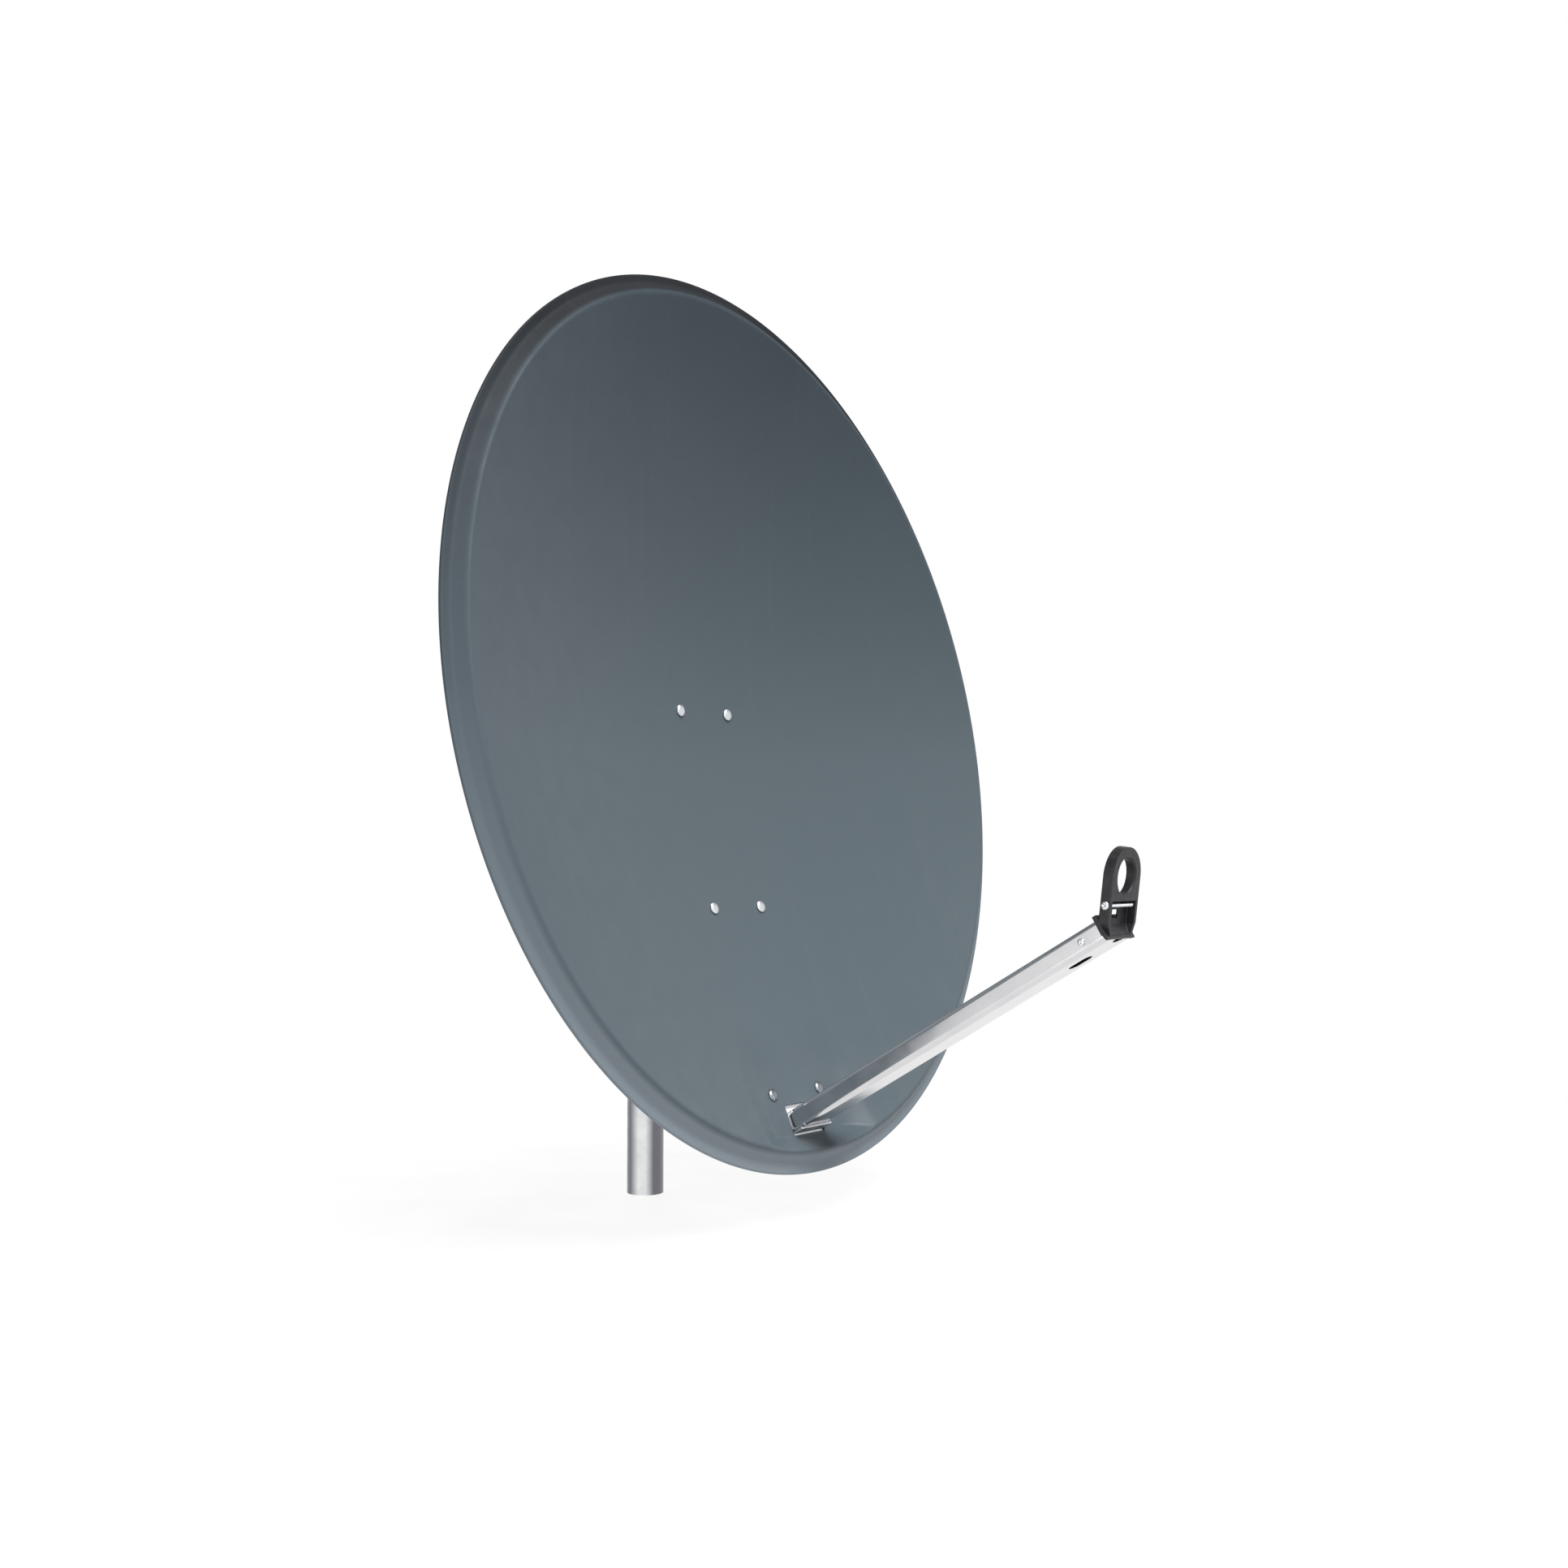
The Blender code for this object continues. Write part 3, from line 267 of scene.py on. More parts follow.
# ---- material helpers ---------------------------------------------------------------------------
class Finish:
    """A Principled material with short calls for the nodes that feed it."""

    def __init__(self, name, metallic=0.0, specular=0.5):
        self.material = bpy.data.materials.new(name)
        self.material.use_nodes = True
        self.tree = self.material.node_tree
        self.shader = self.tree.nodes["Principled BSDF"]
        self.shader.inputs["Metallic"].default_value = metallic
        self.shader.inputs["Specular IOR Level"].default_value = specular
        self.coords = self.tree.nodes.new("ShaderNodeTexCoord").outputs["Object"]
        self.height = None

    def stretched(self, x, y, z):
        mapping = self.tree.nodes.new("ShaderNodeMapping")
        mapping.inputs["Scale"].default_value = (x, y, z)
        self.tree.links.new(self.coords, mapping.inputs["Vector"])
        return mapping.outputs["Vector"]

    def noise(self, scale, detail=3.0, rough=0.5, coords=None):
        texture = self.tree.nodes.new("ShaderNodeTexNoise")
        texture.inputs["Scale"].default_value = scale
        texture.inputs["Detail"].default_value = detail
        texture.inputs["Roughness"].default_value = rough
        self.tree.links.new(coords or self.coords, texture.inputs["Vector"])
        return texture.outputs["Fac"]

    def cells(self, scale, output="Color"):
        texture = self.tree.nodes.new("ShaderNodeTexVoronoi")
        texture.inputs["Scale"].default_value = scale
        self.tree.links.new(self.coords, texture.inputs["Vector"])
        return texture.outputs[output]

    def along(self, axis):
        split = self.tree.nodes.new("ShaderNodeSeparateXYZ")
        self.tree.links.new(self.coords, split.inputs["Vector"])
        return split.outputs[axis]

    def vector_math(self, operation, vector, output, other=None):
        node = self.tree.nodes.new("ShaderNodeVectorMath")
        node.operation = operation
        self.tree.links.new(vector, node.inputs[0])
        if other is not None:
            node.inputs[1].default_value = other
        return node.outputs[output]

    def edges(self):
        return self.tree.nodes.new("ShaderNodeNewGeometry").outputs["Pointiness"]

    def spread(self, value, low, high, to_low=0.0, to_high=1.0):
        """Map a value's range on to another, held at both ends."""
        node = self.tree.nodes.new("ShaderNodeMapRange")
        for key, number in (("From Min", low), ("From Max", high), ("To Min", to_low),
                            ("To Max", to_high)):
            node.inputs[key].default_value = number
        self.tree.links.new(value, node.inputs["Value"])
        return node.outputs["Result"]

    def times(self, first, second):
        return self.maths("MULTIPLY", first, second)

    def maths(self, operation, first, second=0.0):
        node = self.tree.nodes.new("ShaderNodeMath")
        node.operation = operation
        self.tree.links.new(first, node.inputs[0])
        if isinstance(second, (int, float)):
            node.inputs[1].default_value = second
        else:
            self.tree.links.new(second, node.inputs[1])
        return node.outputs["Value"]

    def blend(self, factor, first, second):
        """Mix two colours, each given as numbers or as another node's output."""
        node = self.tree.nodes.new("ShaderNodeMix")
        node.data_type = "RGBA"
        self.tree.links.new(factor, node.inputs["Factor"])
        for socket, colour in ((node.inputs["A"], first), (node.inputs["B"], second)):
            if isinstance(colour, tuple):
                socket.default_value = (*colour, 1.0)
            else:
                self.tree.links.new(colour, socket)
        return node.outputs["Result"]

    def bump(self, value, distance, strength=1.0):
        node = self.tree.nodes.new("ShaderNodeBump")
        node.inputs["Distance"].default_value = distance
        node.inputs["Strength"].default_value = strength
        self.tree.links.new(value, node.inputs["Height"])
        if self.height is not None:
            self.tree.links.new(self.height, node.inputs["Normal"])
        self.height = node.outputs["Normal"]

    def done(self, colour, roughness):
        self.tree.links.new(colour, self.shader.inputs["Base Color"])
        self.tree.links.new(roughness, self.shader.inputs["Roughness"])
        if self.height is not None:
            self.tree.links.new(self.height, self.shader.inputs["Normal"])
        return self.material


# ---- finishes -----------------------------------------------------------------------------------
# The mast tube's painted highlight, a pale band with painted shade to either side: the direction
# across it, where its middle lies that way, and how far from there it stays pale and has turned
# grey. It stays fixed to the tube.
HIGHLIGHT_ACROSS, HIGHLIGHT_AT, HIGHLIGHT_FADE = (0.666, -0.746, 0.0), -0.0045, (0.0050, 0.0150)
# the zinc's dark and light crystals and its blooms
PLATE_TONES = (0.50, 0.52, 0.545), (0.68, 0.70, 0.72), (0.44, 0.455, 0.47)
TUBE_TONES = (0.74, 0.75, 0.765), (0.84, 0.85, 0.86), (0.66, 0.67, 0.685)


def slate_coat():
    """Satin powder coat: orange peel, cloudy thickness, dust and rain marks.

    Painted shade and light: the bowl is darker at the top and paler down the face, and the flange
    beyond it more strongly so.
    """
    coat = Finish("slate_coat", specular=0.3)
    clouds = coat.spread(coat.noise(5.0, 4.0), 0.35, 0.65)
    up = coat.along("Y")
    bowl = coat.blend(clouds, (0.023, 0.036, 0.047), (0.027, 0.040, 0.051))
    # Painted shade and light: the bowl darkens towards its top and turns paler down the face.
    painted_shade_bowl = coat.spread(up, 0.52, -0.05)
    bowl = coat.blend(painted_shade_bowl, bowl, (0.072, 0.094, 0.109))
    edge = coat.blend(clouds, (0.016, 0.018, 0.021), (0.019, 0.021, 0.024))
    # Painted shade and light on the flange: near black at the top, paler lower down, palest at the
    # bottom.
    edge = coat.blend(coat.spread(up, 0.46, -0.02), edge, (0.075, 0.096, 0.113))
    edge = coat.blend(coat.spread(up, 0.0, -0.50), edge, (0.180, 0.210, 0.235))
    outward = coat.stretched(1 / HALF_WIDTH, 1 / HALF_HEIGHT, 0.0)
    outward = coat.vector_math("LENGTH", outward, "Value")
    colour = coat.blend(coat.spread(outward, 1.003, 1.013), bowl, edge)
    specks = coat.spread(coat.noise(1400.0, 1.0), 0.66, 0.80)
    colour = coat.blend(coat.times(specks, 0.45), colour, (0.140, 0.162, 0.176))
    rain = coat.noise(1.0, 5.0, 0.6, coat.stretched(55.0, 2.2, 2.2))
    rain = coat.times(coat.spread(rain, 0.55, 0.80), 0.05)
    colour = coat.blend(rain, colour, (0.165, 0.180, 0.186))
    low = coat.spread(up, -0.40, -0.56)
    dust = coat.times(low, coat.spread(coat.noise(18.0, 5.0, 0.65), 0.42, 0.75, 0.0, 0.12))
    colour = coat.blend(dust, colour, (0.235, 0.235, 0.225))
    worn = coat.times(coat.spread(coat.edges(), 0.535, 0.60),
                      coat.spread(coat.noise(90.0, 4.0), 0.52, 0.70, 0.0, 0.5))
    colour = coat.blend(worn, colour, (0.30, 0.32, 0.33))
    roughness = coat.spread(coat.noise(28.0, 4.0), 0.3, 0.7, 0.36, 0.46)
    roughness = coat.times(roughness, coat.spread(outward, 0.985, 1.005, 1.0, 1.35))
    gloss = coat.spread(outward, 0.995, 1.010, 0.30, 0.08)
    coat.tree.links.new(gloss, coat.shader.inputs["Specular IOR Level"])
    coat.bump(coat.noise(420.0, 2.0), 0.00012)
    coat.bump(coat.noise(7.0, 2.0), 0.0002, 0.35)
    return coat.done(colour, roughness)


def drawn_aluminium():
    """Mill-finish extrusion: die lines along its length, smudges and fine scratches."""
    metal = Finish("drawn_aluminium", metallic=1.0)
    lines = metal.noise(1.0, 6.0, 0.7, metal.stretched(900.0, 900.0, 3.0))
    smudge = metal.spread(metal.noise(22.0, 5.0, 0.6), 0.40, 0.72)
    colour = metal.blend(smudge, (0.68, 0.675, 0.685), (0.63, 0.63, 0.645))
    colour = metal.blend(metal.spread(lines, 0.55, 0.80, 0.0, 0.30), colour, (0.53, 0.535, 0.56))
    scratch = metal.noise(1.0, 2.0, 0.5, metal.stretched(160.0, 1500.0, 90.0))
    colour = metal.blend(metal.spread(scratch, 0.72, 0.80, 0.0, 0.25), colour, (0.74, 0.74, 0.75))
    roughness = metal.spread(metal.noise(35.0, 4.0), 0.3, 0.7, 0.15, 0.24)
    metal.bump(lines, 0.000004)
    metal.bump(metal.noise(300.0, 3.0), 0.000003)
    return metal.done(colour, roughness)


def tube_inside():
    """The arm's bore, painted near black and not metallic, to stand for its own shadow."""
    inside = Finish("tube_inside", specular=0.1)
    clouds = inside.spread(inside.noise(60.0, 4.0), 0.35, 0.65)
    colour = inside.blend(clouds, (0.010, 0.010, 0.011), (0.018, 0.018, 0.019))
    roughness = inside.spread(inside.noise(90.0), 0.3, 0.7, 0.80, 0.95)
    inside.bump(inside.noise(500.0), 0.00003)
    return inside.done(colour, roughness)


def galvanised(name, spangle, tones, rough, lines_and_highlight=False):
    """Hot-dip zinc: crystal spangle, dull grey blooms and a few brighter rubs on the edges.

    A streaked one has fine lines along its length and a painted highlight: a pale band down the
    tube, with painted shade in grey to either side.
    """
    metal = Finish(name, metallic=1.0)
    grains = metal.cells(spangle)
    colour = metal.blend(metal.spread(grains, 0.0, 1.0), tones[0], tones[1])
    bloom = metal.spread(metal.noise(30.0, 6.0, 0.65), 0.48, 0.72, 0.0, 0.6)
    colour = metal.blend(bloom, colour, tones[2])
    rubbed = metal.times(metal.spread(metal.edges(), 0.53, 0.60),
                         metal.spread(metal.noise(140.0, 3.0), 0.45, 0.65, 0.0, 0.7))
    colour = metal.blend(rubbed, colour, (0.86, 0.87, 0.88))
    roughness = metal.times(metal.spread(grains, 0.0, 1.0, rough[0], rough[1]),
                            metal.spread(bloom, 0.0, 0.6, 1.0, 1.25))
    metal.bump(metal.cells(spangle, "Distance"), 0.00002)
    metal.bump(metal.noise(260.0, 4.0), 0.00002)
    if lines_and_highlight:
        # Painted highlight: a pale band down the tube, with painted shade in grey to either side of
        # it.
        across = metal.vector_math("DOT_PRODUCT", metal.coords, "Value", HIGHLIGHT_ACROSS)
        sides = metal.maths("ABSOLUTE", metal.maths("SUBTRACT", across, HIGHLIGHT_AT))
        colour = metal.blend(metal.spread(sides, *HIGHLIGHT_FADE), colour, (0.17, 0.175, 0.195))
        metal.bump(metal.noise(1.0, 4.0, 0.6, metal.stretched(500.0, 500.0, 4.0)), 0.00001)
    return metal.done(colour, roughness)


def zinc_plate(name="zinc_plate", fresh=(0.72, 0.74, 0.77), tarnished=(0.56, 0.575, 0.60)):
    """Plated fasteners: faint blue cast, blotches and fine handling scratches."""
    metal = Finish(name, metallic=1.0)
    blotch = metal.spread(metal.noise(160.0, 5.0, 0.6), 0.40, 0.70)
    colour = metal.blend(blotch, fresh, tarnished)
    dull = metal.spread(metal.noise(420.0, 3.0), 0.58, 0.75, 0.0, 0.55)
    colour = metal.blend(dull, colour, tuple(0.5 * (a + b) for a, b in zip(fresh, tarnished)))
    roughness = metal.spread(metal.noise(240.0, 4.0), 0.3, 0.7, 0.20, 0.38)
    metal.bump(metal.noise(1.0, 3.0, 0.6, metal.stretched(2600.0, 2600.0, 300.0)), 0.00002)
    metal.bump(metal.noise(900.0, 3.0), 0.00003)
    return metal.done(colour, roughness)


def black_plastic():
    """Moulded plastic with a fine spark-eroded grain, scuffed paler on its edges."""
    plastic = Finish("black_plastic", specular=0.32)
    base = (0.014, 0.0135, 0.016)
    lighter = tuple(value * 1.45 + 0.004 for value in base)
    colour = plastic.blend(plastic.spread(plastic.noise(60.0, 5.0), 0.35, 0.70), base, lighter)
    scuff = plastic.times(plastic.spread(plastic.edges(), 0.53, 0.60),
                          plastic.spread(plastic.noise(220.0, 3.0), 0.45, 0.70, 0.0, 0.5))
    colour = plastic.blend(scuff, colour, (0.10, 0.10, 0.108))
    dust = plastic.spread(plastic.noise(900.0, 2.0), 0.66, 0.80, 0.0, 0.35)
    colour = plastic.blend(dust, colour, (0.07, 0.07, 0.07))
    roughness = plastic.spread(plastic.noise(130.0, 4.0), 0.3, 0.7, 0.36, 0.50)
    plastic.bump(plastic.noise(1900.0, 2.0), 0.00004)
    return plastic.done(colour, roughness)


def pale_floor():
    """A matt floor with a white glow of its own."""
    floor = Finish("pale_floor", specular=0.2)
    colour = floor.blend(floor.noise(2.0, 3.0), (0.085, 0.085, 0.086), (0.10, 0.10, 0.10))
    roughness = floor.spread(floor.noise(9.0), 0.3, 0.7, 0.60, 0.75)
    floor.shader.inputs["Emission Color"].default_value = (1.0, 1.0, 1.0, 1.0)
    floor.shader.inputs["Emission Strength"].default_value = FLOOR_GLOW
    return floor.done(colour, roughness)


# ---- reflector ----------------------------------------------------------------------------------
def face_frame():
    place = Matrix.Translation((0, -FACE_FORWARD, FACE_HEIGHT))
    return place @ Matrix.Rotation(math.pi / 2 - FACE_TILT, 4, "X")


def reflector_point(x, up):
    """A point of the paraboloid in the face frame, from its place in the round aperture."""
    depth = (HALF_WIDTH ** 2 - x * x - up * up) / (4 * FOCAL_LENGTH)
    y = up / math.cos(OFFSET_ANGLE) - depth * math.sin(OFFSET_ANGLE)
    return Vector((x, y, -depth * math.cos(OFFSET_ANGLE)))


def bolt_frame(x, up):
    """Origin on the reflector's face, z along its normal towards the front."""
    slope = math.tan(OFFSET_ANGLE) + up / (2 * FOCAL_LENGTH)
    normal = Vector((-x / (2 * FOCAL_LENGTH),
                     math.sin(OFFSET_ANGLE) - slope * math.cos(OFFSET_ANGLE),
                     math.cos(OFFSET_ANGLE) + slope * math.sin(OFFSET_ANGLE))).normalized()
    x_axis = Vector((0, 1, 0)).cross(normal).normalized()
    return frame_matrix(reflector_point(x, up), x_axis, normal.cross(x_axis))


def seat_frame(x):
    """Origin on the pressed seat's face, y up the seat, z along its normal towards the front."""
    return frame_matrix((x, SEAT_Y, SEAT_Z), Vector((1, 0, 0)),
                        Vector((0, 1, -SEAT_SLOPE)).normalized())


def rounded_step(value, radius):
    """Zero below zero, then the value itself, with a rounded start."""
    if value <= 0:
        return 0.0
    if value < radius:
        return value * value / (2 * radius)
    return value - radius / 2


def eased(share):
    """A share from 0 to 1 with a soft start and end, held at both ends."""
    share = min(max(share, 0.0), 1.0)
    return share * share * (3 - 2 * share)


def pressed(point):
    """The face-frame point, moved back where the seat for the arm is pressed into the bowl."""
    seat = SEAT_Z - SEAT_SLOPE * (point.y - SEAT_Y)
    run = eased((SEAT_FADE[1] - point.y) / (SEAT_FADE[1] - SEAT_FADE[0]))
    side = eased((abs(point.x) - SEAT_HALF) / (SEAT_EDGE - SEAT_HALF))
    floor = point.z + (seat - point.z) * run * (1 - side)
    rim = -HALF_HEIGHT * math.sqrt(max(0.0, 1 - (point.x / HALF_WIDTH) ** 2))
    foot = -FOOT_SLOPE * (point.y - rim)
    wall = floor + rounded_step(foot - floor, FOOT_FOLD_R)
    return Vector((point.x, point.y, point.z - rounded_step(point.z - wall, SEAT_FOLD_R)))


def round_the_bowl(coarse=220, fine=104):
    """Angles round the aperture, closer together over the seat at the bottom."""
    reach = math.radians(19)
    bottom = -math.pi / 2
    close = [bottom + reach * (2 * i / fine - 1) for i in range(fine)]
    rest = 2 * math.pi - 2 * reach
    return close + [bottom + reach + rest * i / coarse for i in range(coarse)]


def bowl_shares():
    """How far out the rings lie, closest together where the seat is pressed."""
    shares = [0.02 + 0.58 * i / 14 for i in range(14)]
    shares += [0.60 + 0.20 * i / 22 for i in range(22)]
    return shares + [0.80 + 0.188 * i / 64 for i in range(65)]


def rim_section(angle):
    """The bend, flange, lip and turned-back hem at one place round the rim."""
    def beyond(out, forward):
        return Vector(((HALF_WIDTH + out) * math.cos(angle), (HALF_HEIGHT + out) * math.sin(angle),
                       forward))
    inner = HALF_WIDTH * 0.992
    start = pressed(reflector_point(inner * math.cos(angle), inner * math.sin(angle)))
    points = bend(start, beyond(0, 0), beyond(0.0032, -0.0031), 8)
    points += [beyond(0.0032 + 0.0103 * i / 4, -0.0031 - 0.0100 * i / 4) for i in (1, 2, 3)]
    points += bend(beyond(0.0135, -0.0131), beyond(0.0160, -0.0155), beyond(0.0195, -0.0155), 6)
    points += [beyond(0.0195 + 0.0062 * i / 3, -0.0155) for i in (1, 2)]
    points += bend(beyond(0.0257, -0.0155), beyond(0.0278, -0.0155), beyond(0.0278, -0.0175), 6)
    points += bend(beyond(0.0278, -0.0190), beyond(0.0278, -0.0203), beyond(0.0264, -0.0203), 5)
    return points + [beyond(0.0256, -0.0196)]


def reflector_mesh():
    angles = round_the_bowl()
    loops = [[reflector_point(0, 0)]]
    for share in bowl_shares():
        radius = HALF_WIDTH * share
        loops.append([pressed(reflector_point(radius * math.cos(a), radius * math.sin(a)))
                      for a in angles])
    sections = [rim_section(a) for a in angles]
    loops += [list(loop) for loop in zip(*sections)]
    return loft(loops, "reflector_skin", tidy=False)


def make_reflector(look):
    face = face_frame()
    skin = add_piece("reflector_skin", reflector_mesh(), face, look, 60)
    sheet = skin.modifiers.new("sheet", "SOLIDIFY")
    sheet.thickness = SHEET
    sheet.offset = -1.0
    outline = rounded_rectangle(SLOT_WIDTH, SLOT_HIGH - SLOT_LOW, SLOT_CORNER, 4)
    slot = prism(outline, -0.09, 0.03, "slot")
    cut(skin, slot, face @ Matrix.Translation((0, (SLOT_HIGH + SLOT_LOW) / 2, 0)))
    stands_for(skin, "dish", "reflector_coat", "reflector")


# ---- fasteners ----------------------------------------------------------------------------------
def threaded(thread, start, stop):
    """A turned profile with rounded thread crests from z = start down to z = stop."""
    radius, pitch = thread
    depth = pitch * 0.55
    turns = max(1, int((start - stop - 0.0012) / pitch))
    profile = [(radius, start)]
    for i in range(turns):
        top = start - 0.0002 - i * pitch
        profile += [(radius, top - pitch * 0.12), (radius - depth, top - pitch * 0.48),
                    (radius - depth, top - pitch * 0.62), (radius, top - pitch * 0.95)]
    return profile + [(radius, stop + 0.0009), (radius - 0.0009, stop), (0, stop)]


def dome_bolt(name, length, thread, head_r, head_h, plain=0.003):
    """A cup-head bolt, its head's underside at z = 0 and its shank down -z."""
    dome = [(head_r * math.sin(a), 0.0008 + (head_h - 0.0008) * math.cos(a))
            for a in (math.pi / 2 * i / 10 for i in range(11))]
    edge = [(head_r, 0.0003), (head_r - 0.0003, 0), (thread[0] + 0.0002, 0), (thread[0], -0.0002)]
    return turned(dome + edge + threaded(thread, -plain, -length), name)


def pan_screw(name, length, thread, head_r, head_h):
    """A pan-head screw with a cross recess pressed into its head."""
    bm = bmesh.new()
    bm.from_mesh(dome_bolt(name, length, thread, head_r, head_h, 0.001))
    reach, half = head_r * 0.62, head_r * 0.16
    for vert in bm.verts:
        x, y = abs(vert.co.x), abs(vert.co.y)
        in_cross = min(x, y) < half and max(x, y) < reach
        if vert.co.z > head_h * 0.4 and in_cross:
            vert.co.z -= head_h * 0.5 * (1 - max(x, y) / reach)
    return mesh_from(bm, name)


def hex_radius(across, angle):
    off_flat = (angle + math.pi / 6) % (math.pi / 3) - math.pi / 6
    return across / 2 / math.cos(off_flat)


def hex_loop(across, cone, z, segments=48):
    """A hexagon cut by a chamfer cone of the given radius."""
    loop = []
    for i in range(segments):
        angle = 2 * math.pi * i / segments
        radius = min(hex_radius(across, angle), cone)
        loop.append((radius * math.cos(angle), radius * math.sin(angle), z))
    return loop


def chamfered(across, low, high):
    """Loops of a hexagon from low up to high, its corners turned away at the top."""
    peak = across / 2 / math.cos(math.pi / 6)
    loops = [hex_loop(across, peak, low)]
    for i in range(6):
        share = i / 5
        loops.append(hex_loop(across, peak - (peak - across * 0.475) * share,
                              high - 0.0014 * (1 - share)))
    return loops


def flange_nut(name, across=0.0130, height=0.0080, flange_r=0.0085, hole_r=BOLT_R):
    """A flange nut whose flange sits on z = 0."""
    loops = [circle(hole_r, 0.0003), circle(hole_r + 0.0004, 0), circle(flange_r - 0.0003, 0),
             circle(flange_r, 0.0003), circle(flange_r, 0.0010), circle(flange_r - 0.0004, 0.0014)]
    loops += chamfered(across, 0.0024, height)
    loops += [circle(across * 0.40, height), circle(hole_r + 0.0005, height),
              circle(hole_r, height - 0.0006)]
    return loft(loops, name, closed=True)


def hex_bolt(name, length, thread, across, head_h):
    """A hexagon-head bolt, its head's underside at z = 0 and its shank down -z."""
    loops = [circle(0, head_h - 0.0002), circle(across * 0.28, head_h - 0.0002),
             circle(across * 0.31, head_h)]
    loops += list(reversed(chamfered(across, 0.0004, head_h)))
    loops += [circle(across * 0.485, 0.0004), circle(across * 0.48, 0)]
    loops += [circle(r, z) for r, z in [(thread[0], 0)] + threaded(thread, -length * 0.55, -length)]
    return loft(loops, name)


def washer(name, outer_r=0.0085, height=0.0015, hole_r=BOLT_R + GAP):
    profile = [(hole_r, 0.0002), (hole_r + 0.0002, 0), (outer_r - 0.0003, 0), (outer_r, 0.0003),
               (outer_r, height - 0.0004), (outer_r - 0.0004, height), (hole_r + 0.0002, height),
               (hole_r, height - 0.0002)]
    return turned(profile, name, 56, True)


def add_fastener(name, mesh, place, body, look, node):
    stands_for(add_piece(name, mesh, place, look, 34), body, "zinc", node)


# ---- mast and azimuth clamp ---------------------------------------------------------------------
def make_mast(tube_look, cap_look):
    inner = POLE_R - POLE_WALL
    wall = [(inner + 0.0004, 0), (POLE_R - 0.0006, 0), (POLE_R - 0.0002, 0.0002),
            (POLE_R, 0.0006), (POLE_R, POLE_TOP - 0.0006), (POLE_R - 0.0006, POLE_TOP),
            (inner + 0.0004, POLE_TOP), (inner, POLE_TOP - 0.0004), (inner, 0.0004)]
    tube = add_piece("mast_tube", turned(wall, "mast_tube", 144, True), Matrix(), tube_look)
    stands_for(tube, "mast", "galvanised", "mast_pole")
    skirt, top = POLE_R + 0.0022, POLE_TOP + GAP
    profile = [(0, top), (POLE_R + GAP, top), (POLE_R + GAP, top - 0.0136),
               (POLE_R + 0.0006, top - 0.014), (skirt - 0.0004, top - 0.014),
               (skirt, top - 0.0135), (skirt, top + 0.0010)]
    profile += [(skirt - 0.0028 + 0.0028 * math.cos(a), top + 0.0010 + 0.0026 * math.sin(a))
                for a in (math.pi / 2 * i / 8 for i in range(1, 9))]
    profile += [(POLE_R * 0.62, top + 0.0038), (POLE_R * 0.58, top + 0.0034), (0, top + 0.0036)]
    cap = add_piece("mast_end_cap", turned(profile, "mast_end_cap", 112), Matrix(), cap_look)
    stands_for(cap, "mast", "black_plastic", "mast_cap")


def u_bolt_mesh(name, sides=28):
    """A round rod bent round the back of the mast, with threads on its legs."""
    leg_end, leg_top, thread_end = -0.0505, -0.0020, -0.0250
    pitch, depth = M8[1], M8[1] * 0.5
    stations = [(leg_end, BOLT_R - 0.0009), (leg_end + 0.0009, BOLT_R)]
    turns = int((thread_end - leg_end - 0.0012) / pitch)
    for i in range(turns):
        y = leg_end + 0.0011 + i * pitch
        stations += [(y + pitch * 0.15, BOLT_R), (y + pitch * 0.45, BOLT_R - depth),
                     (y + pitch * 0.60, BOLT_R - depth), (y + pitch * 0.92, BOLT_R)]
    stations += [(thread_end, BOLT_R), (leg_top, BOLT_R)]
    path = [(-U_BOLT_LEG_X, y, math.pi, radius) for y, radius in stations]
    path += [(-U_BOLT_LEG_X * math.cos(a), U_BOLT_LEG_X * math.sin(a), math.pi - a, BOLT_R)
             for a in (math.pi * i / 48 for i in range(49))]
    path += [(U_BOLT_LEG_X, y, 0, radius) for y, radius in reversed(stations)]
    loops = []
    for x, y, facing, radius in path:
        loop = []
        for i in range(sides):
            turn = 2 * math.pi * i / sides
            out = radius * math.cos(turn)
            loop.append((x + out * math.cos(facing), y + out * math.sin(facing),
                         radius * math.sin(turn)))
        loops.append(loop)
    return loft(loops, name, capped=True)


def make_azimuth_clamp(zinc):
    for label, height in zip(("upper", "lower"), U_BOLT_HEIGHTS):
        spot = Matrix.Translation((0, 0, height))
        add_fastener(f"u_rod_{label}", u_bolt_mesh(f"u_rod_{label}"), spot, "azimuth_clamp", zinc,
                     f"u_bolt_{label}")
        for side, x in (("left", -U_BOLT_LEG_X), ("right", U_BOLT_LEG_X)):
            name = f"u_nut_{label}_{side}"
            place = (spot @ Matrix.Translation((x, WEB_FRONT - GAP, 0))
                     @ Matrix.Rotation(math.pi / 2, 4, "X"))
            add_fastener(name, flange_nut(name), place, "azimuth_clamp", zinc,
                         f"u_bolt_nut_{label}_{side}")


def keep_cad(node, look, rounding):
    """A CAD node whose shape is right: its own finish, and its edges rounded."""
    obj = frame["nodes"][node]
    obj.data.materials.clear()
    obj.data.materials.append(look)
    weld = obj.modifiers.new("weld", "WELD")
    weld.merge_threshold = 0.00002
    flat = obj.modifiers.new("flat", "DECIMATE")
    flat.decimate_type = "DISSOLVE"
    flat.angle_limit = math.radians(1.0)
    soften(obj, rounding, 3, PLATE_ANGLE)
    smooth = obj.modifiers.new("smooth", "NODES")
    smooth.node_group = smooth_by_angle()


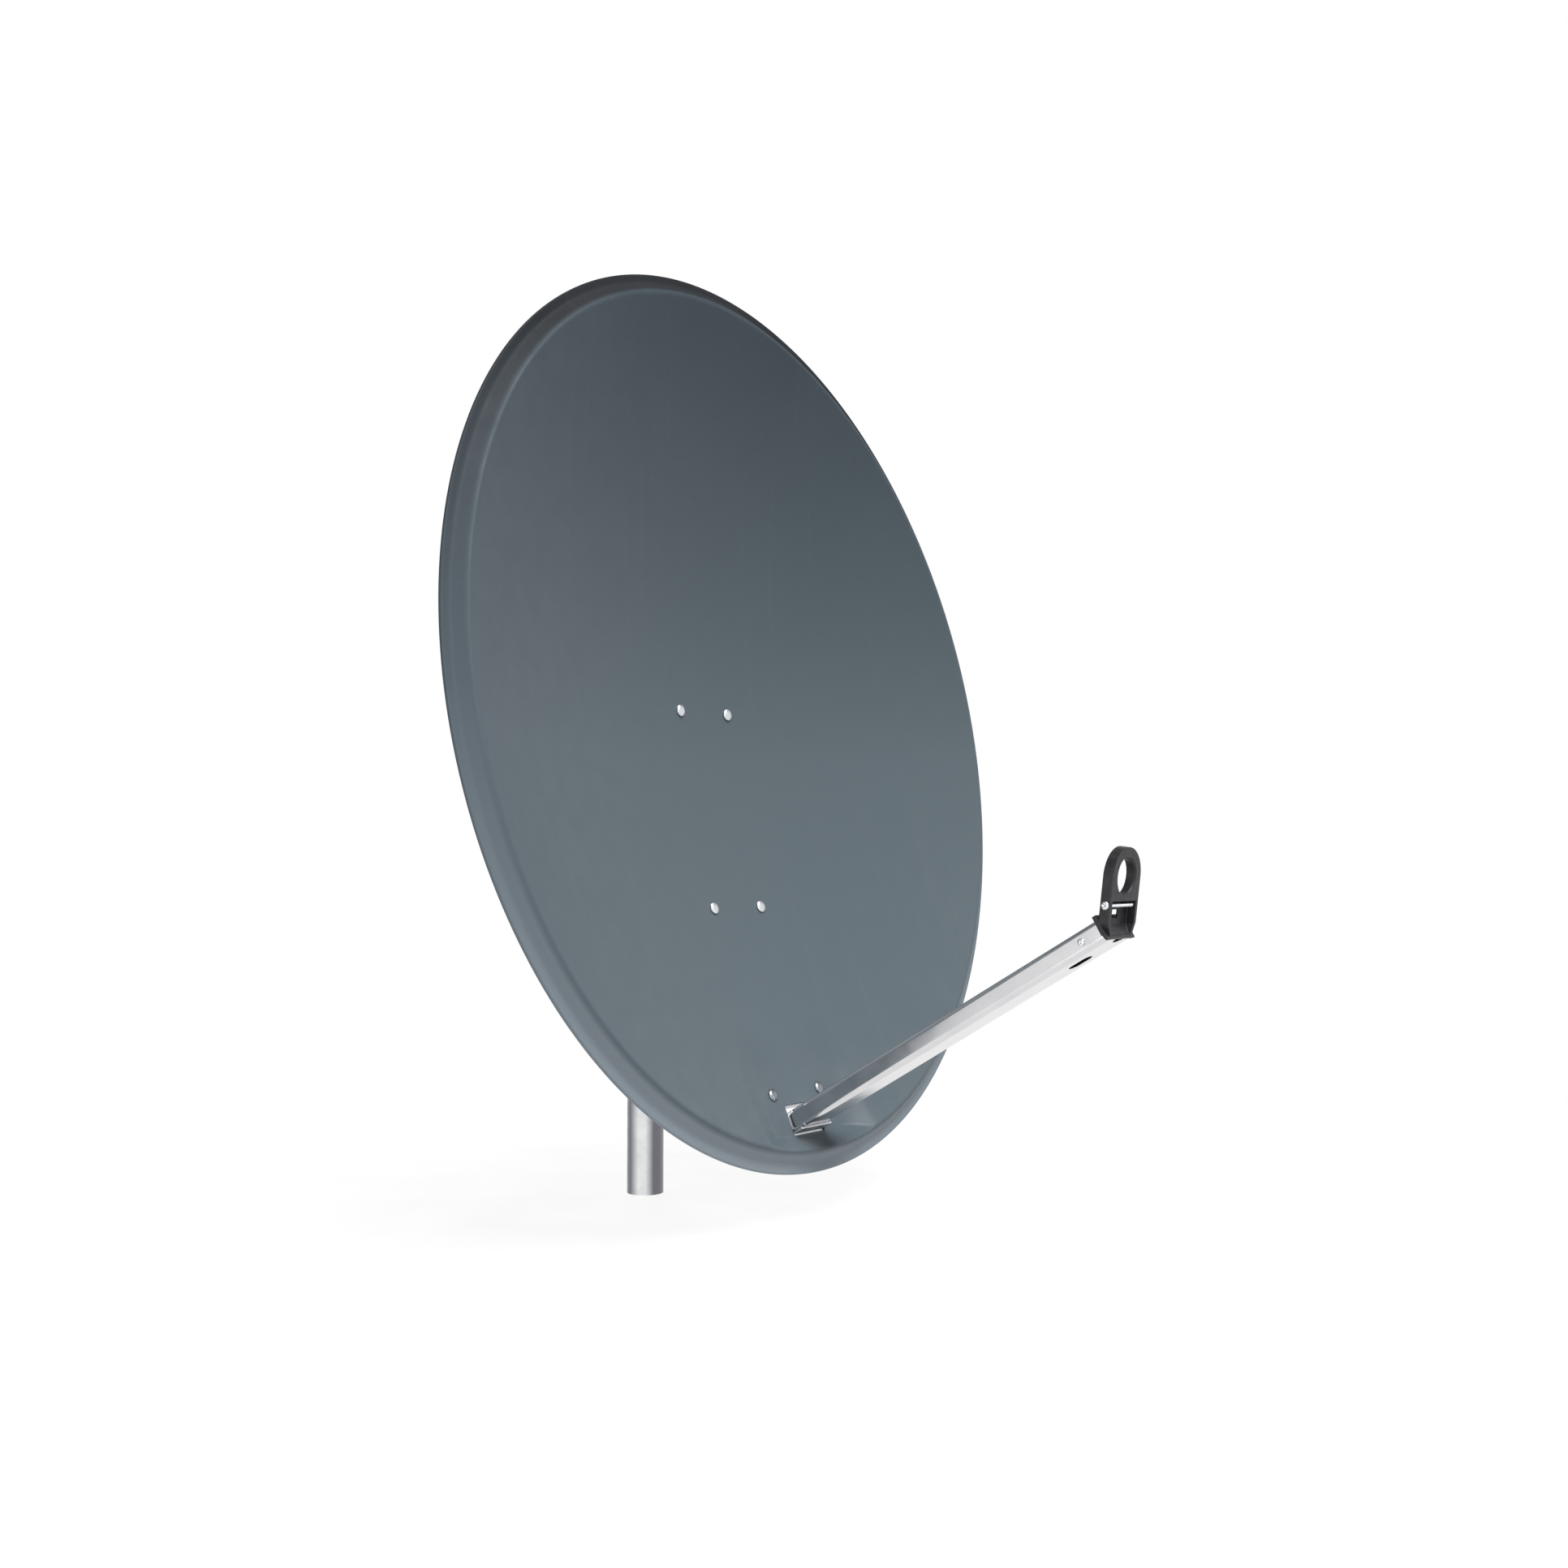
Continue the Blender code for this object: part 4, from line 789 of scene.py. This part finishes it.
def smooth_by_angle():
    """A modifier group that shades smooth, apart from edges sharper than PLATE_ANGLE."""
    group = bpy.data.node_groups.get("shade_smooth")
    if group is not None:
        return group
    group = bpy.data.node_groups.new("shade_smooth", "GeometryNodeTree")
    group.interface.new_socket("Mesh", in_out="INPUT", socket_type="NodeSocketGeometry")
    group.interface.new_socket("Mesh", in_out="OUTPUT", socket_type="NodeSocketGeometry")
    start = group.nodes.new("NodeGroupInput")
    stop = group.nodes.new("NodeGroupOutput")
    sharp = group.nodes.new("GeometryNodeInputMeshEdgeAngle")
    compare = group.nodes.new("FunctionNodeCompare")
    compare.operation = "LESS_THAN"
    compare.inputs["B"].default_value = math.radians(PLATE_ANGLE)
    edges = group.nodes.new("GeometryNodeSetShadeSmooth")
    edges.domain = "EDGE"
    faces = group.nodes.new("GeometryNodeSetShadeSmooth")
    group.links.new(sharp.outputs["Unsigned Angle"], compare.inputs["A"])
    group.links.new(start.outputs[0], faces.inputs["Geometry"])
    group.links.new(faces.outputs["Geometry"], edges.inputs["Geometry"])
    group.links.new(compare.outputs["Result"], edges.inputs["Shade Smooth"])
    group.links.new(edges.outputs["Geometry"], stop.inputs[0])
    return group


# ---- fasteners of the dish ----------------------------------------------------------------------
def make_centre_bolts(zinc):
    face = face_frame()
    seat = -SHEET - 0.0005 - STEEL
    places = [(side * CENTRE_BOLT_X, up) for up in (CENTRE_BOLT_UP, CENTRE_BOLT_DOWN)
              for side in (-1, 1)]
    for index, (x, up) in enumerate(places, start=1):
        place = face @ bolt_frame(x, up)
        bolt = dome_bolt(f"dish_bolt_{index}", CENTRE_BOLT_LONG, M8, *CUP_HEAD)
        add_fastener(f"dish_bolt_{index}", bolt, place @ Matrix.Translation((0, 0, GAP)), "dish",
                     zinc, f"centre_bolt_{index}")
        behind = Matrix.Translation((0, 0, seat - GAP)) @ Matrix.Rotation(math.pi, 4, "X")
        add_fastener(f"dish_nut_{index}", flange_nut(f"dish_nut_{index}"), place @ behind, "dish",
                     zinc, f"centre_nut_{index}")


def make_arm_bolts(dull, zinc):
    face = face_frame()
    for side, name in ((-1, "left"), (1, "right")):
        place = face @ seat_frame(side * ARM_BOLT_X)
        bolt = dome_bolt(f"seat_bolt_{name}", ARM_BOLT_LONG, M8, *CUP_HEAD)
        add_fastener(f"seat_bolt_{name}", bolt, place @ Matrix.Translation((0, 0, GAP)), "dish",
                     dull, f"arm_bolt_{name}")
        behind = Matrix.Translation((0, 0, -SEAT_NUT_BACK)) @ Matrix.Rotation(math.pi, 4, "X")
        add_fastener(f"seat_nut_{name}", flange_nut(f"seat_nut_{name}"), place @ behind, "dish",
                     zinc, f"arm_nut_{name}")


def make_elevation_fasteners(zinc):
    outer = BACK_CHEEK_X + STEEL + GAP
    pivot = Matrix.Translation(PIVOT)
    add_fastener("tilt_bolt", hex_bolt("tilt_bolt", 2 * outer + 0.014, M8, 0.0130, 0.0053),
                 pivot @ facing_x(-outer, 0, 0, -1), "dish", zinc, "pivot_bolt")
    add_fastener("tilt_nut", flange_nut("tilt_nut"), pivot @ facing_x(outer, 0, 0, 1), "dish", zinc,
                 "pivot_nut")
    lock_y, lock_z = LOCK_RADIUS * math.sin(LOCK_REST), -LOCK_RADIUS * math.cos(LOCK_REST)
    inner = MAST_CHEEK_X - STEEL - GAP
    for side, name in ((-1, "left"), (1, "right")):
        bolt = dome_bolt(f"arc_bolt_{name}", outer - inner + 0.0145, M8, *LOCK_HEAD)
        add_fastener(f"arc_bolt_{name}", bolt,
                     pivot @ facing_x(side * inner, lock_y, lock_z, -side), "dish", zinc,
                     f"lock_bolt_{name}")
        add_fastener(f"arc_washer_{name}", washer(f"arc_washer_{name}"),
                     pivot @ facing_x(side * outer, lock_y, lock_z, side), "dish", zinc,
                     f"lock_washer_{name}")
        add_fastener(f"arc_nut_{name}", flange_nut(f"arc_nut_{name}"),
                     pivot @ facing_x(side * (outer + 0.0015 + GAP), lock_y, lock_z, side), "dish",
                     zinc, f"lock_nut_{name}")


# ---- feed arm -----------------------------------------------------------------------------------
def drill(radius, near, far):
    return turned([(0, near), (radius, near), (radius, far), (0, far)], "drill", 32)


def arm_frame():
    """x right, y up from the arm's top face, z along the arm, in the face frame."""
    above = Vector((0, math.cos(ARM_RISE), -math.sin(ARM_RISE)))
    return frame_matrix((0, ARM_START_Y, ARM_START_Z), Vector((1, 0, 0)), above)


def tube_section(z, inset=0.0, steps=8):
    width, height = ARM_WIDTH - 2 * inset, ARM_HEIGHT - 2 * inset
    return [(x, y, z) for x, y in rounded_rectangle(width, height, ARM_CORNER - inset, steps)]


def make_arm(look, inside, zinc):
    place = face_frame() @ arm_frame()
    loops = [tube_section(ARM_TAIL), tube_section(ARM_LENGTH),
             tube_section(ARM_LENGTH, ARM_WALL), tube_section(ARM_TAIL, ARM_WALL)]
    arm = add_piece("feed_arm", loft(loops, "feed_arm", closed=True), place, look)
    floor, half = ARM_HEIGHT / 2, CABLE_HOLE_WIDE / 2
    run = CABLE_HOLE_LONG / 2 - half
    downwards = Matrix.Rotation(math.pi / 2, 4, "X")
    oval = arc((0, run), half, 0, 180, 20) + arc((0, -run), half, 180, 360, 20)
    cut(arm, prism(oval, floor - 0.006, floor + 0.004, "oval"),
        place @ Matrix.Translation((0, 0, CABLE_HOLE_AT)) @ downwards)
    notch = prism(arc((0, NOTCH_AT), NOTCH_R, 0, 354, 59), floor - 0.006, floor + 0.004, "notch")
    cut(arm, notch, place @ Matrix.Translation((0, 0, ARM_LENGTH)) @ downwards)
    sideways = Matrix.Rotation(math.pi / 2, 4, "Y")
    for at, radius, near, far in ((FIXING_SCREW_AT, FIXING_HOLE_R, -0.04, -0.018),
                                  (CROSS_BOLT_AT, CROSS_HOLE_R, -0.04, 0.04)):
        cut(arm, drill(radius, near, far), place @ Matrix.Translation((0, 0, at)) @ sideways)
    soften(arm, 0.00035, 2, 50)
    bake_modifiers(arm)
    arm.data.set_sharp_from_angle(angle=math.radians(40))
    flats = arm.modifiers.new("flats", "WEIGHTED_NORMAL")
    flats.keep_sharp = True
    flats.weight = 100
    bake_modifiers(arm)
    arm.data.materials.append(inside)
    for face in arm.data.polygons:
        if face.normal.x * face.center.x + face.normal.y * face.center.y < -0.001:
            face.material_index = 1
    stands_for(arm, "dish", "arm_metal", "arm_tube")

    outer = ARM_WIDTH / 2 + GAP + CRADLE_WALL + GAP
    across = place @ Matrix.Translation((0, 0, CROSS_BOLT_AT))
    bolt = hex_bolt("cradle_bolt", 2 * outer + 0.010, M6, 0.0100, 0.0040)
    add_fastener("cradle_bolt", bolt, across @ facing_x(-outer, 0, 0, -1), "dish", zinc,
                 "arm_cross_bolt")
    nut = flange_nut("cradle_nut", 0.0100, 0.0060, 0.0068, M6[0])
    add_fastener("cradle_nut", nut, across @ facing_x(outer, 0, 0, 1), "dish", zinc,
                 "arm_cross_nut")


# ---- LNB holder ---------------------------------------------------------------------------------
def holder_frame():
    up = Vector((0, math.cos(HOLDER_TILT), math.sin(HOLDER_TILT)))
    return frame_matrix((0, HOLDER_Y, HOLDER_Z), Vector((1, 0, 0)), up)


def holder_outline(half, top, foot, taper):
    """Front view of the holder: a round head, straight flanks and a tapered foot."""
    crown = top - half
    outline = arc((0, crown), half, 0, 180, 48)
    return outline + [(-half, foot + taper), (-half + taper * 0.5, foot),
                      (half - taper * 0.5, foot), (half, foot + taper)]


def make_holder(look, zinc):
    face = face_frame()
    arm, holder = face @ arm_frame(), face @ holder_frame()
    low, high = -ARM_HEIGHT / 2 - 0.0002, ARM_HEIGHT / 2 + 0.0035
    side_low = -ARM_HEIGHT / 2 + ARM_CORNER
    foot = (holder.inverted() @ arm @ Vector((0, low, ARM_LENGTH + 0.004))).y
    outline = holder_outline(HOLDER_HALF, HOLDER_TOP, foot, HOLDER_TAPER)
    body = add_piece("lnb_clamp", prism(outline, -HOLDER_DEPTH, 0, "lnb_clamp"), holder, look)

    back, front = ARM_LENGTH - COLLAR_BACK, ARM_LENGTH + COLLAR_FRONT
    cut(body, box("collar", (-HOLDER_HALF + 0.0002, low - 0.004, back),
                  (HOLDER_HALF - 0.0002, high, front)), arm, "UNION")
    step = [(low - 0.04, back - 0.02), (low - 0.04, ARM_LENGTH + 0.03), (low, ARM_LENGTH + 0.03),
            (low, ARM_LENGTH + GAP / 2), (side_low, ARM_LENGTH - 0.0015), (side_low, back - 0.02)]
    cut(body, prism(step, -0.06, 0.06, "step"), arm @ side_view(0))

    inner, floor = HOLDER_HALF - HOLDER_WALL, foot + 0.0025
    pocket = [(inner, HOLLOW_TOP), (-inner, HOLLOW_TOP), (-inner, foot + 0.014),
              (-inner + 0.006, floor), (inner - 0.006, floor), (inner, foot + 0.014)]
    cut(body, prism(pocket, -HOLDER_DEPTH + 0.0025, 0.01, "pocket"), holder)
    cut(body, box("slope", (-inner - 0.001, low + 0.0002, ARM_LENGTH - 0.001),
                  (inner + 0.001, high - 0.0002, front - 0.0004)), arm, "UNION")
    around = loft([tube_section(ARM_LENGTH - 0.05, -GAP), tube_section(ARM_LENGTH + GAP, -GAP)],
                  "around", capped=True)
    cut(body, around, arm)
    plug = loft([[(x, max(y, -0.0035), z) for x, y, z in tube_section(end, ARM_WALL + GAP, 3)]
                 for end in (ARM_LENGTH - 0.045, ARM_LENGTH + 0.0015)], "plug", capped=True)
    cut(body, plug, arm, "UNION")
    wide, rear = RING_R + RING_FLARE, -HOLDER_DEPTH
    bore = [(0, -0.03), (wide, -0.03), (wide, rear), (RING_R, rear + RING_FLARE),
            (RING_R, -RING_FLARE), (wide, 0.0), (wide, 0.01), (0, 0.01)]
    cut(body, turned(bore, "bore", 120), holder)
    cut(body, box("window", (-WINDOW_HALF, WINDOW_LOW, -0.03), (WINDOW_HALF, WINDOW_HIGH, 0.0)),
        holder)
    across = holder @ facing_x(0, CLAMP_SCREW_UP, -CLAMP_SCREW_BACK, 1)
    cut(body, drill(CLAMP_HOLE_R, -0.05, 0.05), across)
    mould(body)
    stands_for(body, "dish", "black_plastic", "lnb_holder")
    make_holder_fasteners(arm, holder, zinc)


def mould(obj):
    """Even mesh with the soft edges of a plastic moulding."""
    remesh = obj.modifiers.new("remesh", "REMESH")
    remesh.mode = "VOXEL"
    remesh.voxel_size = MOULD_VOXEL
    relax = obj.modifiers.new("relax", "SMOOTH")
    relax.factor = 0.5
    relax.iterations = MOULD_PASSES
    bake_modifiers(obj)
    obj.data.shade_smooth()


def make_holder_fasteners(arm, holder, zinc):
    outer = HOLDER_HALF + GAP
    screw = pan_screw("clamp_screw", 2 * outer + 0.007, M5, 0.0048, 0.0030)
    add_fastener("clamp_screw", screw,
                 holder @ facing_x(-outer, CLAMP_SCREW_UP, -CLAMP_SCREW_BACK, -1), "dish", zinc,
                 "holder_clamp_screw")
    nut = flange_nut("clamp_nut", 0.0080, 0.0045, 0.0050, M5[0])
    add_fastener("clamp_nut", nut,
                 holder @ facing_x(outer, CLAMP_SCREW_UP, -CLAMP_SCREW_BACK, 1), "dish", zinc,
                 "holder_clamp_nut")
    fixing = pan_screw("arm_screw", 0.018, M5, 0.0042, 0.0022)
    place = arm @ facing_x(-ARM_WIDTH / 2 - GAP, 0, FIXING_SCREW_AT, -1)
    add_fastener("arm_screw", fixing, place, "dish", zinc, "holder_fixing_screw")


# ---- studio -------------------------------------------------------------------------------------
FLOOR_GLOW = 0.90
FLOOR_REACH = 1.6
SKY_LOW, SKY_HIGH = math.sin(math.radians(28)), math.sin(math.radians(46))
SKY_BRIGHT, SKY_DARK = 0.95, 0.20
SKY_FILL = 0.08
CAMERA_AT = (-1.809, -1.613, 0.448)
CAMERA_TURN = (math.radians(92.24), 0.0, math.radians(-52.64))
CAMERA_LENS = 41.44
LAMPS = (("key", (-0.9, -5.2, 9.3), (0, -0.25, 0.55), 8.5, 1900.0),       # at, towards, size, watts
         ("side", (-2.0, -0.35, 0.14), (-0.4, -0.2, 0.50), 0.7, 8.0),
         ("front", (-3.4, -2.7, 0.55), (0, 0, 0.30), 2.2, 16.0))


def make_floor():
    bm = bmesh.new()
    bmesh.ops.create_grid(bm, x_segments=24, y_segments=24, size=FLOOR_REACH)
    floor = add_piece("studio_floor", mesh_from(bm, "studio_floor"),
                      Matrix.Translation((0, 0, -0.0005)), pale_floor())


def mixed(tree, factor, off, on):
    """A number that is off where the factor is 0 and on where it is 1."""
    node = tree.nodes.new("ShaderNodeMix")
    tree.links.new(factor, node.inputs[0])
    for socket, value in ((node.inputs[2], off), (node.inputs[3], on)):
        if isinstance(value, float):
            socket.default_value = value
        else:
            tree.links.new(value, socket)
    return node.outputs[0]


def make_sky():
    """White to the camera. In reflections it is a tent open at the top, bright up to 28 degrees and
    darker overhead. For all other light it is a faint even fill, much dimmer than its reflection.
    """
    world = bpy.data.worlds.new("studio")
    bpy.context.scene.world = world
    world.use_nodes = True
    tree = world.node_tree
    coords = tree.nodes.new("ShaderNodeTexCoord")
    split = tree.nodes.new("ShaderNodeSeparateXYZ")
    span = tree.nodes.new("ShaderNodeMapRange")
    span.interpolation_type = "SMOOTHSTEP"
    for key, number in (("From Min", SKY_LOW), ("From Max", SKY_HIGH), ("To Min", SKY_BRIGHT),
                        ("To Max", SKY_DARK)):
        span.inputs[key].default_value = number
    tree.links.new(coords.outputs["Generated"], split.inputs["Vector"])
    tree.links.new(split.outputs["Z"], span.inputs["Value"])
    seen = tree.nodes.new("ShaderNodeLightPath")
    mirrored = mixed(tree, seen.outputs["Is Glossy Ray"], SKY_FILL, span.outputs["Result"])
    backdrop = mixed(tree, seen.outputs["Is Camera Ray"], mirrored, 1.0)
    tree.links.new(backdrop, tree.nodes["Background"].inputs["Strength"])
    tree.nodes["Background"].inputs["Color"].default_value = (1.0, 1.0, 1.0, 1.0)


def area_light(name, at, towards, size, power):
    light = bpy.data.lights.new(name, "AREA")
    light.shape = "DISK"
    light.size = size
    light.energy = power
    lamp = bpy.data.objects.new(name, light)
    lamp.visible_camera = False
    bpy.context.scene.collection.objects.link(lamp)
    direction = Vector(towards) - Vector(at)
    lamp.matrix_world = (Matrix.Translation(at)
                         @ direction.to_track_quat("-Z", "Y").to_matrix().to_4x4())


def make_camera():
    data = bpy.data.cameras.new("camera")
    data.sensor_width = 36.0
    data.lens = CAMERA_LENS
    data.clip_end = 60.0
    camera = bpy.data.objects.new("camera", data)
    bpy.context.scene.collection.objects.link(camera)
    camera.location = CAMERA_AT
    camera.rotation_euler = CAMERA_TURN
    bpy.context.scene.camera = camera


# ---- assembly -----------------------------------------------------------------------------------
def main():
    slate = slate_coat()
    zinc = zinc_plate()
    plastic = black_plastic()
    bracket = galvanised("galvanised_plate", 110.0, PLATE_TONES, (0.30, 0.46))
    tube = galvanised("galvanised_tube", 70.0, TUBE_TONES, (0.20, 0.30), lines_and_highlight=True)
    make_mast(tube, plastic)
    make_azimuth_clamp(zinc)
    for node, look, rounding in (("mast_bracket", bracket, 0.0006),
                                 ("back_bracket", bracket, 0.0006),
                                 ("arm_bracket", bracket, 0.0005),
                                 ("saddle_upper", zinc, 0.0003),
                                 ("saddle_lower", zinc, 0.0003)):
        keep_cad(node, look, rounding)
    make_reflector(slate)
    make_centre_bolts(zinc)
    dull_zinc = zinc_plate("dull_zinc", (0.30, 0.325, 0.345), (0.20, 0.225, 0.245))
    make_arm_bolts(dull_zinc, zinc)
    make_elevation_fasteners(zinc)
    make_arm(drawn_aluminium(), tube_inside(), zinc)
    make_holder(plastic, zinc)
    make_floor()
    make_sky()
    for lamp in LAMPS:
        area_light(*lamp)
    make_camera()
    bpy.context.scene.view_settings.view_transform = "Standard"


main()
